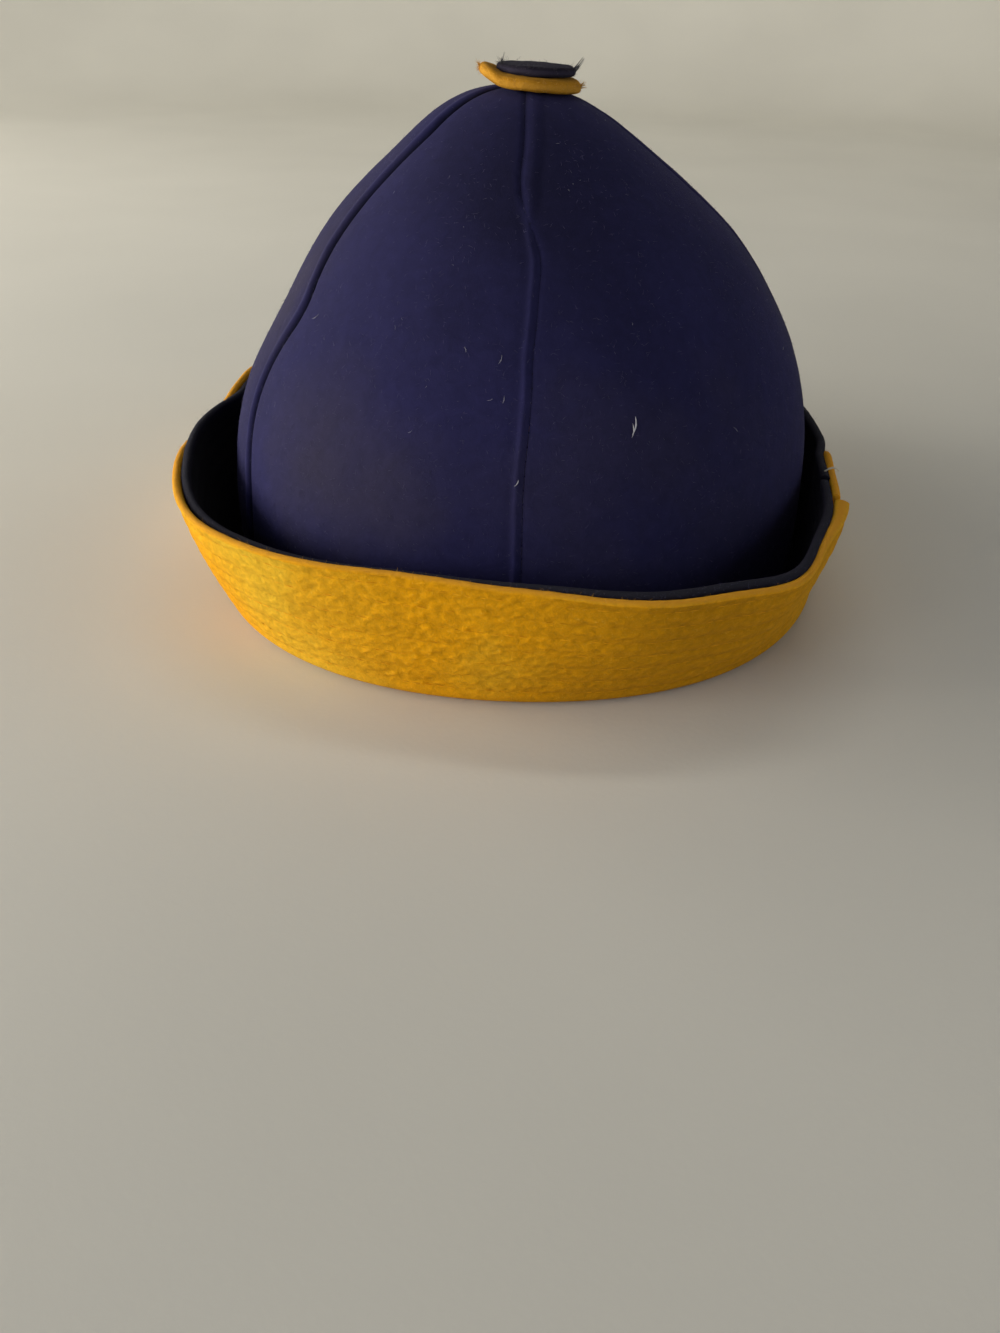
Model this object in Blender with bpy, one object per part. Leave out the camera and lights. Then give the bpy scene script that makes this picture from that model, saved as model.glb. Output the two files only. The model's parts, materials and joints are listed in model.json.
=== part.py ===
"""Felt beanie: a five-gore pointed crown, a turned-up brim of two felt plies and a button of two discs.

Metres, +Z up. The hat stands on the fold of its brim at z = 0, its front towards -Y, and the
origin lies under the middle of its outline. An azimuth is counted from the front, and grows
towards +X.
"""
import math
from collections import namedtuple

import bmesh
import bpy
import numpy as np

MM = 0.001

# Felt and clearances
CROWN_FELT = 2.2 * MM
SHELL_FELT = 2.2 * MM
FACING_FELT = 2.6 * MM
FIT_GAP = 0.3 * MM

# Plan: half axes of the oval at the crown's base, and how much fuller than an oval its corners are
CROWN_HALF_WIDTH = 87.5 * MM
CROWN_HALF_DEPTH = 94.5 * MM
FRONT_CORNER_FULLNESS = 0.040
BACK_CORNER_FULLNESS = 0.020
FULLNESS_FADE_HEIGHT = 75.0 * MM

# Crown: the seams between its gores
SEAM_GROOVE_DEPTH = 0.9 * MM
SEAM_GROOVE_REACH = 1.5 * MM
WELT_HEIGHT = 0.5 * MM
WELT_MIDDLE = 2.6 * MM
WELT_REACH = 1.4 * MM
GORE_PUFF = 0.6 * MM
GORE_PUFF_REACH = 20.0 * MM
RELIEF_FADE_RADIUS = 30.0 * MM

CrownRow = namedtuple("CrownRow", "height_mm spread lean_mm twist_deg")
CROWN_ROWS = (
    CrownRow(0.0, 1.000, 0.0, 0.0),
    CrownRow(30.0, 1.010, 0.0, 0.0),
    CrownRow(55.0, 0.967, 1.0, 0.0),
    CrownRow(80.0, 0.826, 2.2, -1.2),
    CrownRow(100.0, 0.652, 1.5, -0.4),
    CrownRow(118.0, 0.417, 0.7, -2.7),
    CrownRow(132.0, 0.168, -1.2, 0.0),
    CrownRow(133.8, 0.088, -1.2, 0.0),
    CrownRow(134.4, 0.032, -1.2, 0.0),
)
# The point of the crown is tilted down towards +X
POINT_TILT_DEG = 3.0
POINT_TILT_FOOT = 95.0 * MM
POINT_TILT_TOP = 130.0 * MM

# Seams: the side their felt is pressed to, +1 towards +azimuth, and how far they drift on the way up
SeamRow = namedtuple("SeamRow", "azimuth_deg welt_side drift_deg")
SEAM_ROWS = (
    SeamRow(-137.0, -1, 1.5),
    SeamRow(-57.5, -1, -10.5),
    SeamRow(0.0, 1, 0.0),
    SeamRow(78.0, 1, 3.0),
    SeamRow(150.0, 1, -2.0),
)
SEAM_DRIFT_START = 0.15
SEAM_DRIFT_END = 0.50

# Soft dents of the worn crown
DentRow = namedtuple("DentRow", "azimuth_deg height_mm depth_mm wide_deg tall_mm")
DENT_ROWS = (
    DentRow(-90.0, 73.0, 1.4, 18.0, 18.0),
    DentRow(-32.0, 58.0, 0.8, 13.0, 17.0),
    DentRow(33.0, 74.0, 0.7, 14.0, 20.0),
    DentRow(112.0, 70.0, 0.8, 16.0, 18.0),
    DentRow(152.0, 62.0, 0.9, 15.0, 20.0),
    DentRow(-148.0, 80.0, 0.8, 14.0, 18.0),
)

# Brim: its fold lies on the surface, and its wall leans out by an angle that changes round the hat
FOLD_START = 4.1 * MM
FOLD_RADIUS = 5.0 * MM
BRIM_WIDTH = 45.0 * MM
CREASE_RADIUS = 0.6 * MM
WALL_BULGE = 1.1 * MM
STITCH_ROWS = 7
STITCH_DEPTH = 0.35 * MM
STITCH_GROOVE_SHARE = 0.36

BrimRow = namedtuple("BrimRow", "azimuth_deg flare_deg")
BRIM_ROWS = (
    BrimRow(-145.0, 9.0),
    BrimRow(-110.0, 7.0),
    BrimRow(-97.0, 1.5),
    BrimRow(-86.0, 4.5),
    BrimRow(-71.0, 11.5),
    BrimRow(-61.0, 15.5),
    BrimRow(-50.0, 19.0),
    BrimRow(-38.0, 17.5),
    BrimRow(-26.0, 14.5),
    BrimRow(-15.0, 11.5),
    BrimRow(-4.0, 13.5),
    BrimRow(7.0, 17.5),
    BrimRow(18.0, 23.0),
    BrimRow(30.0, 24.5),
    BrimRow(38.0, 25.0),
    BrimRow(45.0, 16.0),
    BrimRow(54.0, 8.0),
    BrimRow(65.0, 1.0),
    BrimRow(78.0, -2.0),
    BrimRow(95.0, -1.5),
    BrimRow(118.0, 4.0),
    BrimRow(150.0, 9.0),
    BrimRow(180.0, 10.0),
)

# Ends of the plies: they meet at the right, each ply at its own place, and part towards the top edge
SHELL_END_AZIMUTH_DEG = 59.0
FACING_END_AZIMUTH_DEG = 65.0
END_HALF_GAP = 0.3 * MM
END_NOTCH_HALF_WIDTH = 1.8 * MM
END_NOTCH_FOOT = 28.0 * MM
END_NOTCH_TOP = 44.0 * MM
FRONT_END_LIFT = 4.0 * MM
FRONT_END_LIFT_REACH = 22.0 * MM
REAR_END_LIFT = 0.6 * MM
REAR_END_LIFT_REACH = 11.0 * MM
END_LIFT_FOOT = 10.0 * MM

# Button: two discs, tilted down towards +X
BASE_DISC_RADIUS = 13.9 * MM
BASE_DISC_SHIFT = -0.4 * MM
BASE_DISC_TOP = 137.0 * MM
BASE_DISC_CURL = 1.4 * MM
BASE_DISC_CURL_START = 8.5 * MM
TOP_DISC_RADIUS = 10.6 * MM
TOP_DISC_THICKNESS = 2.3 * MM
TOP_DISC_SHIFT = 1.1 * MM
DISC_TILT_DEG = 4.5
DISC_DOME = 0.5 * MM
DISC_ROUNDING = 0.6 * MM

# How finely the felt is divided
CROWN_LEVELS = 16
GORE_MIDDLE_STRIPS = 7
SEAM_COLUMNS = (0.0, 1.3 * MM, 3.9 * MM, 5.4 * MM)
SEAM_STRIPS_PER_WIDTH = 10
FOLD_STEPS = 4
BRIM_STEPS = 60
END_COLUMNS = (0.0, 2.0 * MM, 5.0 * MM)
PLAIN_WALL_STEPS = 3
DISC_SIDES = 30
SMOOTH_ANGLE_DEG = 38.0
SLOPE_STEP = 0.5 * MM
FOOT_SEARCH_SHARE = 0.2
FOOT_SEARCH_STEPS = 30
POINT_SEARCH_SHARE = 0.8
POINT_SEARCH_STEPS = 60

# Felts: linear colour and roughness
PURPLE_FELT = ("purple_wool_felt", (0.030, 0.024, 0.085, 1.0), 0.95)
FACING_PURPLE_FELT = ("purple_wool_felt_facing", (0.024, 0.021, 0.062, 1.0), 0.95)
GOLD_FELT = ("gold_wool_felt", (0.560, 0.270, 0.012, 1.0), 0.93)
GOLD_DISC_FELT = ("gold_wool_felt_disc", (0.600, 0.300, 0.020, 1.0), 0.92)
PURPLE_DISC_FELT = ("purple_wool_felt_disc", (0.028, 0.022, 0.060, 1.0), 0.95)


def curve_through(knots, values):
    """A natural cubic spline through the values at the knots, as a function."""
    count = len(knots)
    steps = np.diff(knots)
    slopes = np.diff(values) / steps
    matrix = np.eye(count)
    right = np.zeros(count)
    for i in range(1, count - 1):
        matrix[i, i - 1] = steps[i - 1]
        matrix[i, i] = 2.0 * (steps[i - 1] + steps[i])
        matrix[i, i + 1] = steps[i]
        right[i] = 6.0 * (slopes[i] - slopes[i - 1])
    bends = np.linalg.solve(matrix, right)

    def value_at(x):
        i = int(np.clip(np.searchsorted(knots, x) - 1, 0, count - 2))
        step = steps[i]
        ahead = (knots[i + 1] - x) / step
        behind = (x - knots[i]) / step
        cubic = (ahead ** 3 - ahead) * bends[i] + (behind ** 3 - behind) * bends[i + 1]
        return ahead * values[i] + behind * values[i + 1] + cubic * step * step / 6.0

    return value_at


def closed_curve_through(degrees, values):
    """A smooth curve through the values at these azimuths, which meets itself after a full turn."""
    knots = np.concatenate([np.array(degrees) + turn for turn in (-360.0, 0.0, 360.0)])
    value_at = curve_through(knots, np.tile(values, 3))
    return lambda azimuth: value_at((math.degrees(azimuth) + 180.0) % 360.0 - 180.0)


def crown_profile():
    """The side's length, and the crown's spread, height, lean and twist as curves along the side."""
    heights = np.array([row.height_mm for row in CROWN_ROWS]) * MM
    spreads = np.array([row.spread for row in CROWN_ROWS])
    leans = np.array([row.lean_mm for row in CROWN_ROWS]) * MM
    twists = np.radians([row.twist_deg for row in CROWN_ROWS])
    lengths = np.hypot(np.diff(heights), np.diff(spreads) * CROWN_HALF_WIDTH)
    along = np.concatenate([[0.0], np.cumsum(lengths)])
    return (along[-1],) + tuple(curve_through(along, column) for column in (spreads, heights, leans, twists))


CROWN_SIDE, SPREAD_AT, HEIGHT_AT, LEAN_AT, TWIST_AT = crown_profile()
FLARE_AT = closed_curve_through([row.azimuth_deg for row in BRIM_ROWS], [row.flare_deg for row in BRIM_ROWS])
PLY_STACK = SHELL_FELT + FIT_GAP + FACING_FELT
CROWN_FOOT = PLY_STACK + FIT_GAP


def smooth_step(x):
    """0 below 0, 1 above 1, and smooth between."""
    x = min(max(x, 0.0), 1.0)
    return x * x * (3.0 - 2.0 * x)


def plan_point(azimuth, reach, height):
    """A point of the hat's plan, this far outside the crown's base: an oval with fuller corners."""
    fullness = FRONT_CORNER_FULLNESS if math.cos(azimuth) > 0.0 else BACK_CORNER_FULLNESS
    fade = 1.0 - smooth_step(height / FULLNESS_FADE_HEIGHT)
    swell = 1.0 + fullness * fade * math.sin(2.0 * azimuth) ** 2
    x = (CROWN_HALF_WIDTH + reach) * swell * math.sin(azimuth)
    y = -(CROWN_HALF_DEPTH + reach) * swell * math.cos(azimuth)
    return x, y


def angle_between(azimuth, other):
    """The signed angle from one azimuth to another, within half a turn."""
    return (azimuth - other + math.pi) % (2.0 * math.pi) - math.pi


def seam_relief(distance, welt_side):
    """Height of the felt beside a seam: a groove on the seam, and a welt on the side it is pressed to."""
    groove = -SEAM_GROOVE_DEPTH * math.exp(-(distance / SEAM_GROOVE_REACH) ** 2)
    welt = WELT_HEIGHT * math.exp(-((distance * welt_side - WELT_MIDDLE) / WELT_REACH) ** 2)
    return groove + welt


def seam_azimuth(seam, along):
    """Azimuth of a seam, this far along the crown's side."""
    share = along / CROWN_SIDE
    drift = smooth_step((share - SEAM_DRIFT_START) / (SEAM_DRIFT_END - SEAM_DRIFT_START))
    return math.radians(seam.azimuth_deg + seam.drift_deg * drift)


def crown_relief(azimuth, along, height, radius):
    """How far the felt stands out of the plain oval: puffed gores, seams and dents."""
    relief = GORE_PUFF
    for seam in SEAM_ROWS:
        distance = angle_between(azimuth, seam_azimuth(seam, along)) * radius
        relief += seam_relief(distance, seam.welt_side)
        relief -= GORE_PUFF * math.exp(-(distance / GORE_PUFF_REACH) ** 2)
    for dent in DENT_ROWS:
        across = angle_between(azimuth, math.radians(dent.azimuth_deg)) / math.radians(dent.wide_deg)
        up = (height - dent.height_mm * MM) / (dent.tall_mm * MM)
        relief -= dent.depth_mm * MM * math.exp(-across * across - up * up)
    return relief * min(1.0, radius / RELIEF_FADE_RADIUS)


def crown_point(azimuth, along, depth):
    """A point of the crown, this far along its side from the base and this deep in the felt."""
    low = max(along - SLOPE_STEP, 0.0)
    high = min(along + SLOPE_STEP, CROWN_SIDE)
    rise = HEIGHT_AT(high) - HEIGHT_AT(low)
    run = (SPREAD_AT(high) - SPREAD_AT(low)) * CROWN_HALF_WIDTH
    slant = math.hypot(rise, run)
    height = HEIGHT_AT(along)
    twisted = azimuth + TWIST_AT(along)
    plain_x, plain_y = plan_point(twisted, 0.0, height)
    radius = SPREAD_AT(along) * math.hypot(plain_x, plain_y)
    out = crown_relief(azimuth, along, height, radius) - depth
    scale = SPREAD_AT(along) * (1.0 + out * rise / slant / max(radius, MM))
    x = LEAN_AT(along) + plain_x * scale
    tilt = smooth_step((height - POINT_TILT_FOOT) / (POINT_TILT_TOP - POINT_TILT_FOOT))
    drop = x * math.tan(math.radians(POINT_TILT_DEG)) * tilt
    return (x, plain_y * scale, height - out * run / slant - drop)


def crown_foot_along(azimuth, depth):
    """How far along the crown's side its lower edge lies, so that the edge is level."""
    low, high = 0.0, FOOT_SEARCH_SHARE * CROWN_SIDE
    for _ in range(FOOT_SEARCH_STEPS):
        middle = 0.5 * (low + high)
        if crown_point(azimuth, middle, depth)[2] < CROWN_FOOT:
            low = middle
        else:
            high = middle
    return high


def gore_angle(seam, next_seam, along):
    """The angle from one seam of a gore to the next, this far along the crown's side."""
    return (seam_azimuth(next_seam, along) - seam_azimuth(seam, along)) % (2.0 * math.pi)


def gore_columns(width):
    """Distances across a gore of this width: close together at its seams, even between them."""
    near = [min(column, width * i / SEAM_STRIPS_PER_WIDTH) for i, column in enumerate(SEAM_COLUMNS)]
    inner = width - 2.0 * near[-1]
    middle = [near[-1] + inner * i / GORE_MIDDLE_STRIPS for i in range(1, GORE_MIDDLE_STRIPS)]
    return near + middle + [width - column for column in reversed(near)]


def gore_loop(seam, next_seam, level, depth_order):
    """One closed loop round a gore's felt: its outer face, then its inner face back."""
    middle = math.radians(seam.azimuth_deg) + 0.5 * gore_angle(seam, next_seam, 0.0)
    loop = []
    for depth, backwards in depth_order:
        foot = crown_foot_along(middle, depth)
        along = foot + (CROWN_SIDE - foot) * level
        start = seam_azimuth(seam, along)
        radius = SPREAD_AT(along) * 0.5 * (CROWN_HALF_WIDTH + CROWN_HALF_DEPTH)
        width = radius * gore_angle(seam, next_seam, along)
        face = []
        for column in gore_columns(width):
            inset = 0.5 * FIT_GAP * (1.0 - 2.0 * column / width)
            face.append(crown_point(start + (column + inset) / radius, along, depth))
        loop += face[::-1] if backwards else face
    return loop


def fold_of(flare, depth):
    """Centre and radius of the fold, for a surface at this depth under the brim's outer face."""
    distance = max(FOLD_RADIUS, depth + CREASE_RADIUS)
    corner_reach = FOLD_START + FOLD_RADIUS * math.cos(flare)
    corner_height = FOLD_RADIUS * (1.0 - math.sin(flare))
    offset = (distance + (corner_height - distance) * math.sin(flare)) / math.cos(flare)
    return corner_reach - offset, distance, distance - depth


def brim_line(azimuth, depth, wall_marks):
    """Reach and height of one face of the brim at an azimuth, from under the crown to the top edge.

    Each wall mark is a share of the wall's length and how far the felt stands out there.
    """
    flare = math.radians(FLARE_AT(azimuth))
    reach, height, radius = fold_of(flare, depth)
    line = [(-CROWN_FELT, height - radius)]
    for i in range(FOLD_STEPS + 1):
        angle = -0.5 * math.pi + (0.5 * math.pi - flare) * i / FOLD_STEPS
        line.append((reach + radius * math.cos(angle), height + radius * math.sin(angle)))
    wall = BRIM_WIDTH - FOLD_RADIUS * (0.5 * math.pi - flare)
    top_reach = FOLD_START + (FOLD_RADIUS - depth) * math.cos(flare) + wall * math.sin(flare)
    top_height = FOLD_RADIUS - (FOLD_RADIUS - depth) * math.sin(flare) + wall * math.cos(flare)
    foot_reach, foot_height = line[-1]
    for share, relief in wall_marks:
        out = relief + WALL_BULGE * math.sin(math.pi * share)
        line.append((
            foot_reach + (top_reach - foot_reach) * share + out * math.cos(flare),
            foot_height + (top_height - foot_height) * share - out * math.sin(flare),
        ))
    return line


def stitched_wall():
    """Marks up the gold wall: a groove at each row of stitches, and full felt between the rows."""
    marks = []
    for i in range(STITCH_ROWS):
        marks.append(((i + STITCH_GROOVE_SHARE) / STITCH_ROWS, -STITCH_DEPTH))
        marks.append(((i + 1.0) / STITCH_ROWS, 0.0))
    return marks


def plain_wall():
    """Even marks up a wall with no stitches showing."""
    return [(i / PLAIN_WALL_STEPS, 0.0) for i in range(1, PLAIN_WALL_STEPS + 1)]


def brim_stations():
    """Shares of the way round the brim, from a ply's rear end at the right to its front end there."""
    girth = math.pi * (CROWN_HALF_WIDTH + CROWN_HALF_DEPTH + 2.0 * FOLD_START)
    ends = [column / girth for column in END_COLUMNS]
    inner = 1.0 - 2.0 * ends[-1]
    middle = [ends[-1] + inner * i / BRIM_STEPS for i in range(1, BRIM_STEPS)]
    return ends + middle + [1.0 - share for share in reversed(ends)]


def end_lift(share):
    """How far the gold felt lifts off the facing near each end of the brim, at its top edge."""
    girth = math.pi * (CROWN_HALF_WIDTH + CROWN_HALF_DEPTH)
    rear = REAR_END_LIFT * math.exp(-(share * girth / REAR_END_LIFT_REACH) ** 2)
    front = FRONT_END_LIFT * math.exp(-((1.0 - share) * girth / FRONT_END_LIFT_REACH) ** 2)
    return rear + front


def brim_point(end_azimuth, share, reach, height, lifts):
    """A point of the brim: its ends part towards the top edge, where the gold felt also lifts off."""
    notch = smooth_step((height - END_NOTCH_FOOT) / (END_NOTCH_TOP - END_NOTCH_FOOT))
    half_gap = (END_HALF_GAP + END_NOTCH_HALF_WIDTH * notch) / (CROWN_HALF_WIDTH + reach)
    azimuth = end_azimuth + half_gap + share * (2.0 * math.pi - 2.0 * half_gap)
    if lifts:
        reach += end_lift(share) * smooth_step((height - END_LIFT_FOOT) / (END_NOTCH_TOP - END_LIFT_FOOT))
    x, y = plan_point(azimuth, reach, 0.0)
    return (x, y, height)


def brim_loops(end_azimuth, depths, marks, lifts):
    """Closed loops of one ply, at each station round the brim: its outer face, then its inner one."""
    loops = []
    for share in brim_stations():
        azimuth = end_azimuth + share * 2.0 * math.pi
        outer, inner = (brim_line(azimuth, depth, face) for depth, face in zip(depths, marks))
        around = outer + inner[::-1]
        loops.append([brim_point(end_azimuth, share, reach, height, lifts) for reach, height in around])
    return loops


def crown_top_height(x, y):
    """Height of the crown's point at a place under the button."""
    alongs = np.linspace(POINT_SEARCH_SHARE, 1.0, POINT_SEARCH_STEPS) * CROWN_SIDE
    spreads = np.array([SPREAD_AT(along) for along in alongs])
    heights = np.array([HEIGHT_AT(along) for along in alongs])
    from_point = x - CROWN_ROWS[-1].lean_mm * MM
    spread = math.hypot(from_point / CROWN_HALF_WIDTH, y / CROWN_HALF_DEPTH)
    level = float(np.interp(spread, spreads[::-1], heights[::-1]))
    return level + GORE_PUFF * spread - x * math.tan(math.radians(POINT_TILT_DEG))


def disc_loops(centre_x, radius, underside, upper_side):
    """Loops of a felt disc with a rounded rim, from the middle of its underside to that of its top."""
    rows = [(0.25, 0.0), (0.65, 0.0), (1.0 - DISC_ROUNDING / radius, 0.0), (1.0, DISC_ROUNDING)]
    loops = []
    for side, base, sign in ((rows, underside, 1.0), (rows[::-1], upper_side, -1.0)):
        for share, inward in side:
            loop = []
            for i in range(DISC_SIDES):
                angle = 2.0 * math.pi * i / DISC_SIDES
                x = centre_x + radius * share * math.cos(angle)
                y = radius * share * math.sin(angle)
                loop.append((x, y, base(x, y) + sign * inward))
            loops.append(loop)
    return loops


def disc_plane(height):
    """A disc face: tilted down towards +X, and slightly domed."""
    slope = math.tan(math.radians(DISC_TILT_DEG))
    return lambda x, y: height - slope * x - DISC_DOME * (x * x + y * y) / BASE_DISC_RADIUS ** 2


def rim_curl(x):
    """How far the rim of the base disc curls up, on its -X side."""
    reach = BASE_DISC_RADIUS - BASE_DISC_CURL_START
    return BASE_DISC_CURL * smooth_step((-x - BASE_DISC_CURL_START) / reach)


def felt_material(name, colour, roughness):
    material = bpy.data.materials.new(name)
    material.use_nodes = True
    shader = material.node_tree.nodes["Principled BSDF"]
    shader.inputs["Base Color"].default_value = colour
    shader.inputs["Roughness"].default_value = roughness
    shader.inputs["Metallic"].default_value = 0.0
    return material


def rising_triangles(corners):
    """Split a four-sided patch along its rising diagonal, so that plies which nest stay parallel."""
    first, second, third, fourth = corners
    if second.co.z >= first.co.z:
        return (first, second, third), (first, third, fourth)
    return (first, second, fourth), (second, third, fourth)


def lofted_object(name, loops, material, parent):
    """A closed body lofted through loops of points, with a face across the first and the last."""
    mesh_data = bmesh.new()
    rings = [[mesh_data.verts.new(point) for point in loop] for loop in loops]
    for ring, following in zip(rings, rings[1:]):
        for i, vertex in enumerate(ring):
            after = (i + 1) % len(ring)
            corners = (vertex, ring[after], following[after], following[i])
            for triangle in rising_triangles(corners):
                mesh_data.faces.new(triangle)
    caps = [mesh_data.faces.new(ring) for ring in (rings[0][::-1], rings[-1])]
    bmesh.ops.triangulate(mesh_data, faces=caps, ngon_method="EAR_CLIP")
    bmesh.ops.recalc_face_normals(mesh_data, faces=mesh_data.faces)
    mesh = bpy.data.meshes.new(name)
    mesh_data.to_mesh(mesh)
    mesh_data.free()
    mesh.shade_smooth()
    mesh.set_sharp_from_angle(angle=math.radians(SMOOTH_ANGLE_DEG))
    mesh.materials.append(material)
    body = bpy.data.objects.new(name, mesh)
    bpy.context.collection.objects.link(body)
    body.parent = parent
    return body


def make_crown(parent):
    purple = felt_material(*PURPLE_FELT)
    gores = []
    for number, seam in enumerate(SEAM_ROWS, start=1):
        next_seam = SEAM_ROWS[number % len(SEAM_ROWS)]
        faces = ((0.0, False), (CROWN_FELT, True))
        loops = [gore_loop(seam, next_seam, i / CROWN_LEVELS, faces) for i in range(CROWN_LEVELS + 1)]
        gores.append(lofted_object(f"crown_gore_{number}", loops, purple, parent))
    return gores


def make_brim(parent):
    shell_end = math.radians(SHELL_END_AZIMUTH_DEG)
    facing_end = math.radians(FACING_END_AZIMUTH_DEG)
    shell_loops = brim_loops(shell_end, (0.0, SHELL_FELT), (stitched_wall(), plain_wall()), True)
    facing_depths = (SHELL_FELT + FIT_GAP, PLY_STACK)
    facing_loops = brim_loops(facing_end, facing_depths, (plain_wall(), plain_wall()), False)
    shell = lofted_object("brim_shell", shell_loops, felt_material(*GOLD_FELT), parent)
    facing = lofted_object("brim_facing", facing_loops, felt_material(*FACING_PURPLE_FELT), parent)
    return [shell, facing]


def make_button(parent):
    plane = disc_plane(BASE_DISC_TOP)
    base = disc_loops(
        BASE_DISC_SHIFT,
        BASE_DISC_RADIUS,
        lambda x, y: crown_top_height(x, y) + FIT_GAP + rim_curl(x),
        lambda x, y: plane(x, y) + rim_curl(x),
    )
    top_under = disc_plane(BASE_DISC_TOP + FIT_GAP)
    top_upper = disc_plane(BASE_DISC_TOP + FIT_GAP + TOP_DISC_THICKNESS)
    top = disc_loops(TOP_DISC_SHIFT, TOP_DISC_RADIUS, top_under, top_upper)
    return [
        lofted_object("button_base", base, felt_material(*GOLD_DISC_FELT), parent),
        lofted_object("button_top", top, felt_material(*PURPLE_DISC_FELT), parent),
    ]


def clear_scene():
    for item in list(bpy.data.objects):
        bpy.data.objects.remove(item, do_unlink=True)


def centre_over_origin(parent, bodies):
    """Move the parent so that the middle of the hat's outline lies over the origin."""
    points = np.array([vertex.co for body in bodies for vertex in body.data.vertices])
    middle = 0.5 * (points.min(axis=0) + points.max(axis=0))
    parent.location = (-middle[0], -middle[1], 0.0)


def main():
    clear_scene()
    hat = bpy.data.objects.new("hat", None)
    bpy.context.collection.objects.link(hat)
    bodies = make_crown(hat) + make_brim(hat) + make_button(hat)
    centre_over_origin(hat, bodies)
    bpy.context.view_layer.update()


main()
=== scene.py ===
"""Felt beanie: its felts, seams, stitches and loose fibres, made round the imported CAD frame.

Metres, +Z up. The hat stands on the fold of its brim at z = 0, its front towards -Y. An azimuth is
counted from the front, and grows towards +X. Shapes are worked out round the crown's own axis, and
then set into the frame.
"""

import json
import math
import random
from bisect import bisect_left
from collections import namedtuple

import bmesh
import bpy
import numpy as np
from bpy.props import FloatProperty, FloatVectorProperty, IntProperty, PointerProperty
from bpy.types import Operator, Panel, PropertyGroup
from mathutils import Matrix, Vector, noise

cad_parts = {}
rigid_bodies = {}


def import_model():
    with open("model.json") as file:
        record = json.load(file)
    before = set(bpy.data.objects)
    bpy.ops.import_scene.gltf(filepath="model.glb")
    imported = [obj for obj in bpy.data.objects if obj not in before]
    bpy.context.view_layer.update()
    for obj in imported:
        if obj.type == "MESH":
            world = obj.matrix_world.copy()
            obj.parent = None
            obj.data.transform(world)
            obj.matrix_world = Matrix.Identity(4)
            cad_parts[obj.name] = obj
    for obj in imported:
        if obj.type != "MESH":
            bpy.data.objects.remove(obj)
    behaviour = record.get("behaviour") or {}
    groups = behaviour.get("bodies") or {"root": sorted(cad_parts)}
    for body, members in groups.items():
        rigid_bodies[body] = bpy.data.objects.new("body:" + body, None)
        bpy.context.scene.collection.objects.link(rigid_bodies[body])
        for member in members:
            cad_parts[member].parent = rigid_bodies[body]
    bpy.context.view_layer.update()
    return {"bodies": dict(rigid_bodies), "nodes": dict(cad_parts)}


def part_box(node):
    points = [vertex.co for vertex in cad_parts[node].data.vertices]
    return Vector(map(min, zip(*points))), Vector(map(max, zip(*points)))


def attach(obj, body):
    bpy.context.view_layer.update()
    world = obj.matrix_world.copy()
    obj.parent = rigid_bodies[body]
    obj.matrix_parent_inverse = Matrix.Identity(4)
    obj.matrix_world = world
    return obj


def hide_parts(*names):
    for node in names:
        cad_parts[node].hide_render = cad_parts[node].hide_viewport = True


bl_info = {
    "name": "Felt Beanie",
    "version": (1, 0, 0),
    "blender": (4, 5, 0),
    "location": "View3D > Sidebar > Beanie",
    "description": "Makes the felts, seams, stitches and loose fibres of a felt beanie",
    "category": "Add Mesh",
}

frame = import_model()

MM = 0.001


def table(name, columns, *rows):
    """A table's rows, with its columns named."""
    row_type = namedtuple(name, columns)
    return tuple(row_type(*row) for row in rows)


def column(rows, name):
    """One column of a table."""
    return [getattr(row, name) for row in rows]


# Felt and clearances
CROWN_FELT = 2.2 * MM
SHELL_FELT = 2.2 * MM
FACING_FELT = 2.6 * MM
FIT_GAP = 0.3 * MM
PLY_STACK = SHELL_FELT + FIT_GAP + FACING_FELT
CROWN_FOOT = PLY_STACK + FIT_GAP

# Plan: half axes of the oval at the crown's base, and how much fuller than an oval its corners are
CROWN_HALF_WIDTH = 87.5 * MM
CROWN_HALF_DEPTH = 94.5 * MM
CROWN_MEAN_RADIUS = 0.5 * (CROWN_HALF_WIDTH + CROWN_HALF_DEPTH)
FRONT_CORNER_FULLNESS = 0.040
BACK_CORNER_FULLNESS = 0.020
FULLNESS_FADE_HEIGHT = 75.0 * MM

# Crown: the seams between its gores
SEAM_GAP = 0.08 * MM
SEAM_WOBBLE = 0.30 * MM
SEAM_WOBBLE_LENGTH = 11.0 * MM
GORE_PUFF = 0.6 * MM
GORE_PUFF_REACH = 20.0 * MM
RELIEF_FADE_RADIUS = 30.0 * MM

CROWN_ROWS = table(
    "CrownRow", "height_mm spread lean_mm twist_deg",
    (0.0, 1.000, 0.0, 0.0),
    (30.0, 1.010, 0.0, 0.0),
    (55.0, 0.967, 1.0, 0.0),
    (80.0, 0.826, 2.2, -1.2),
    (100.0, 0.652, 1.5, -0.4),
    (118.0, 0.417, 0.7, -2.7),
    (132.0, 0.168, -1.2, 0.0),
    (133.8, 0.088, -1.2, 0.0),
    (134.4, 0.032, -1.2, 0.0),
)
# The point of the crown is tilted down towards +X
POINT_TILT_DEG = 3.0
POINT_TILT_FOOT = 95.0 * MM
POINT_TILT_TOP = 130.0 * MM

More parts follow.
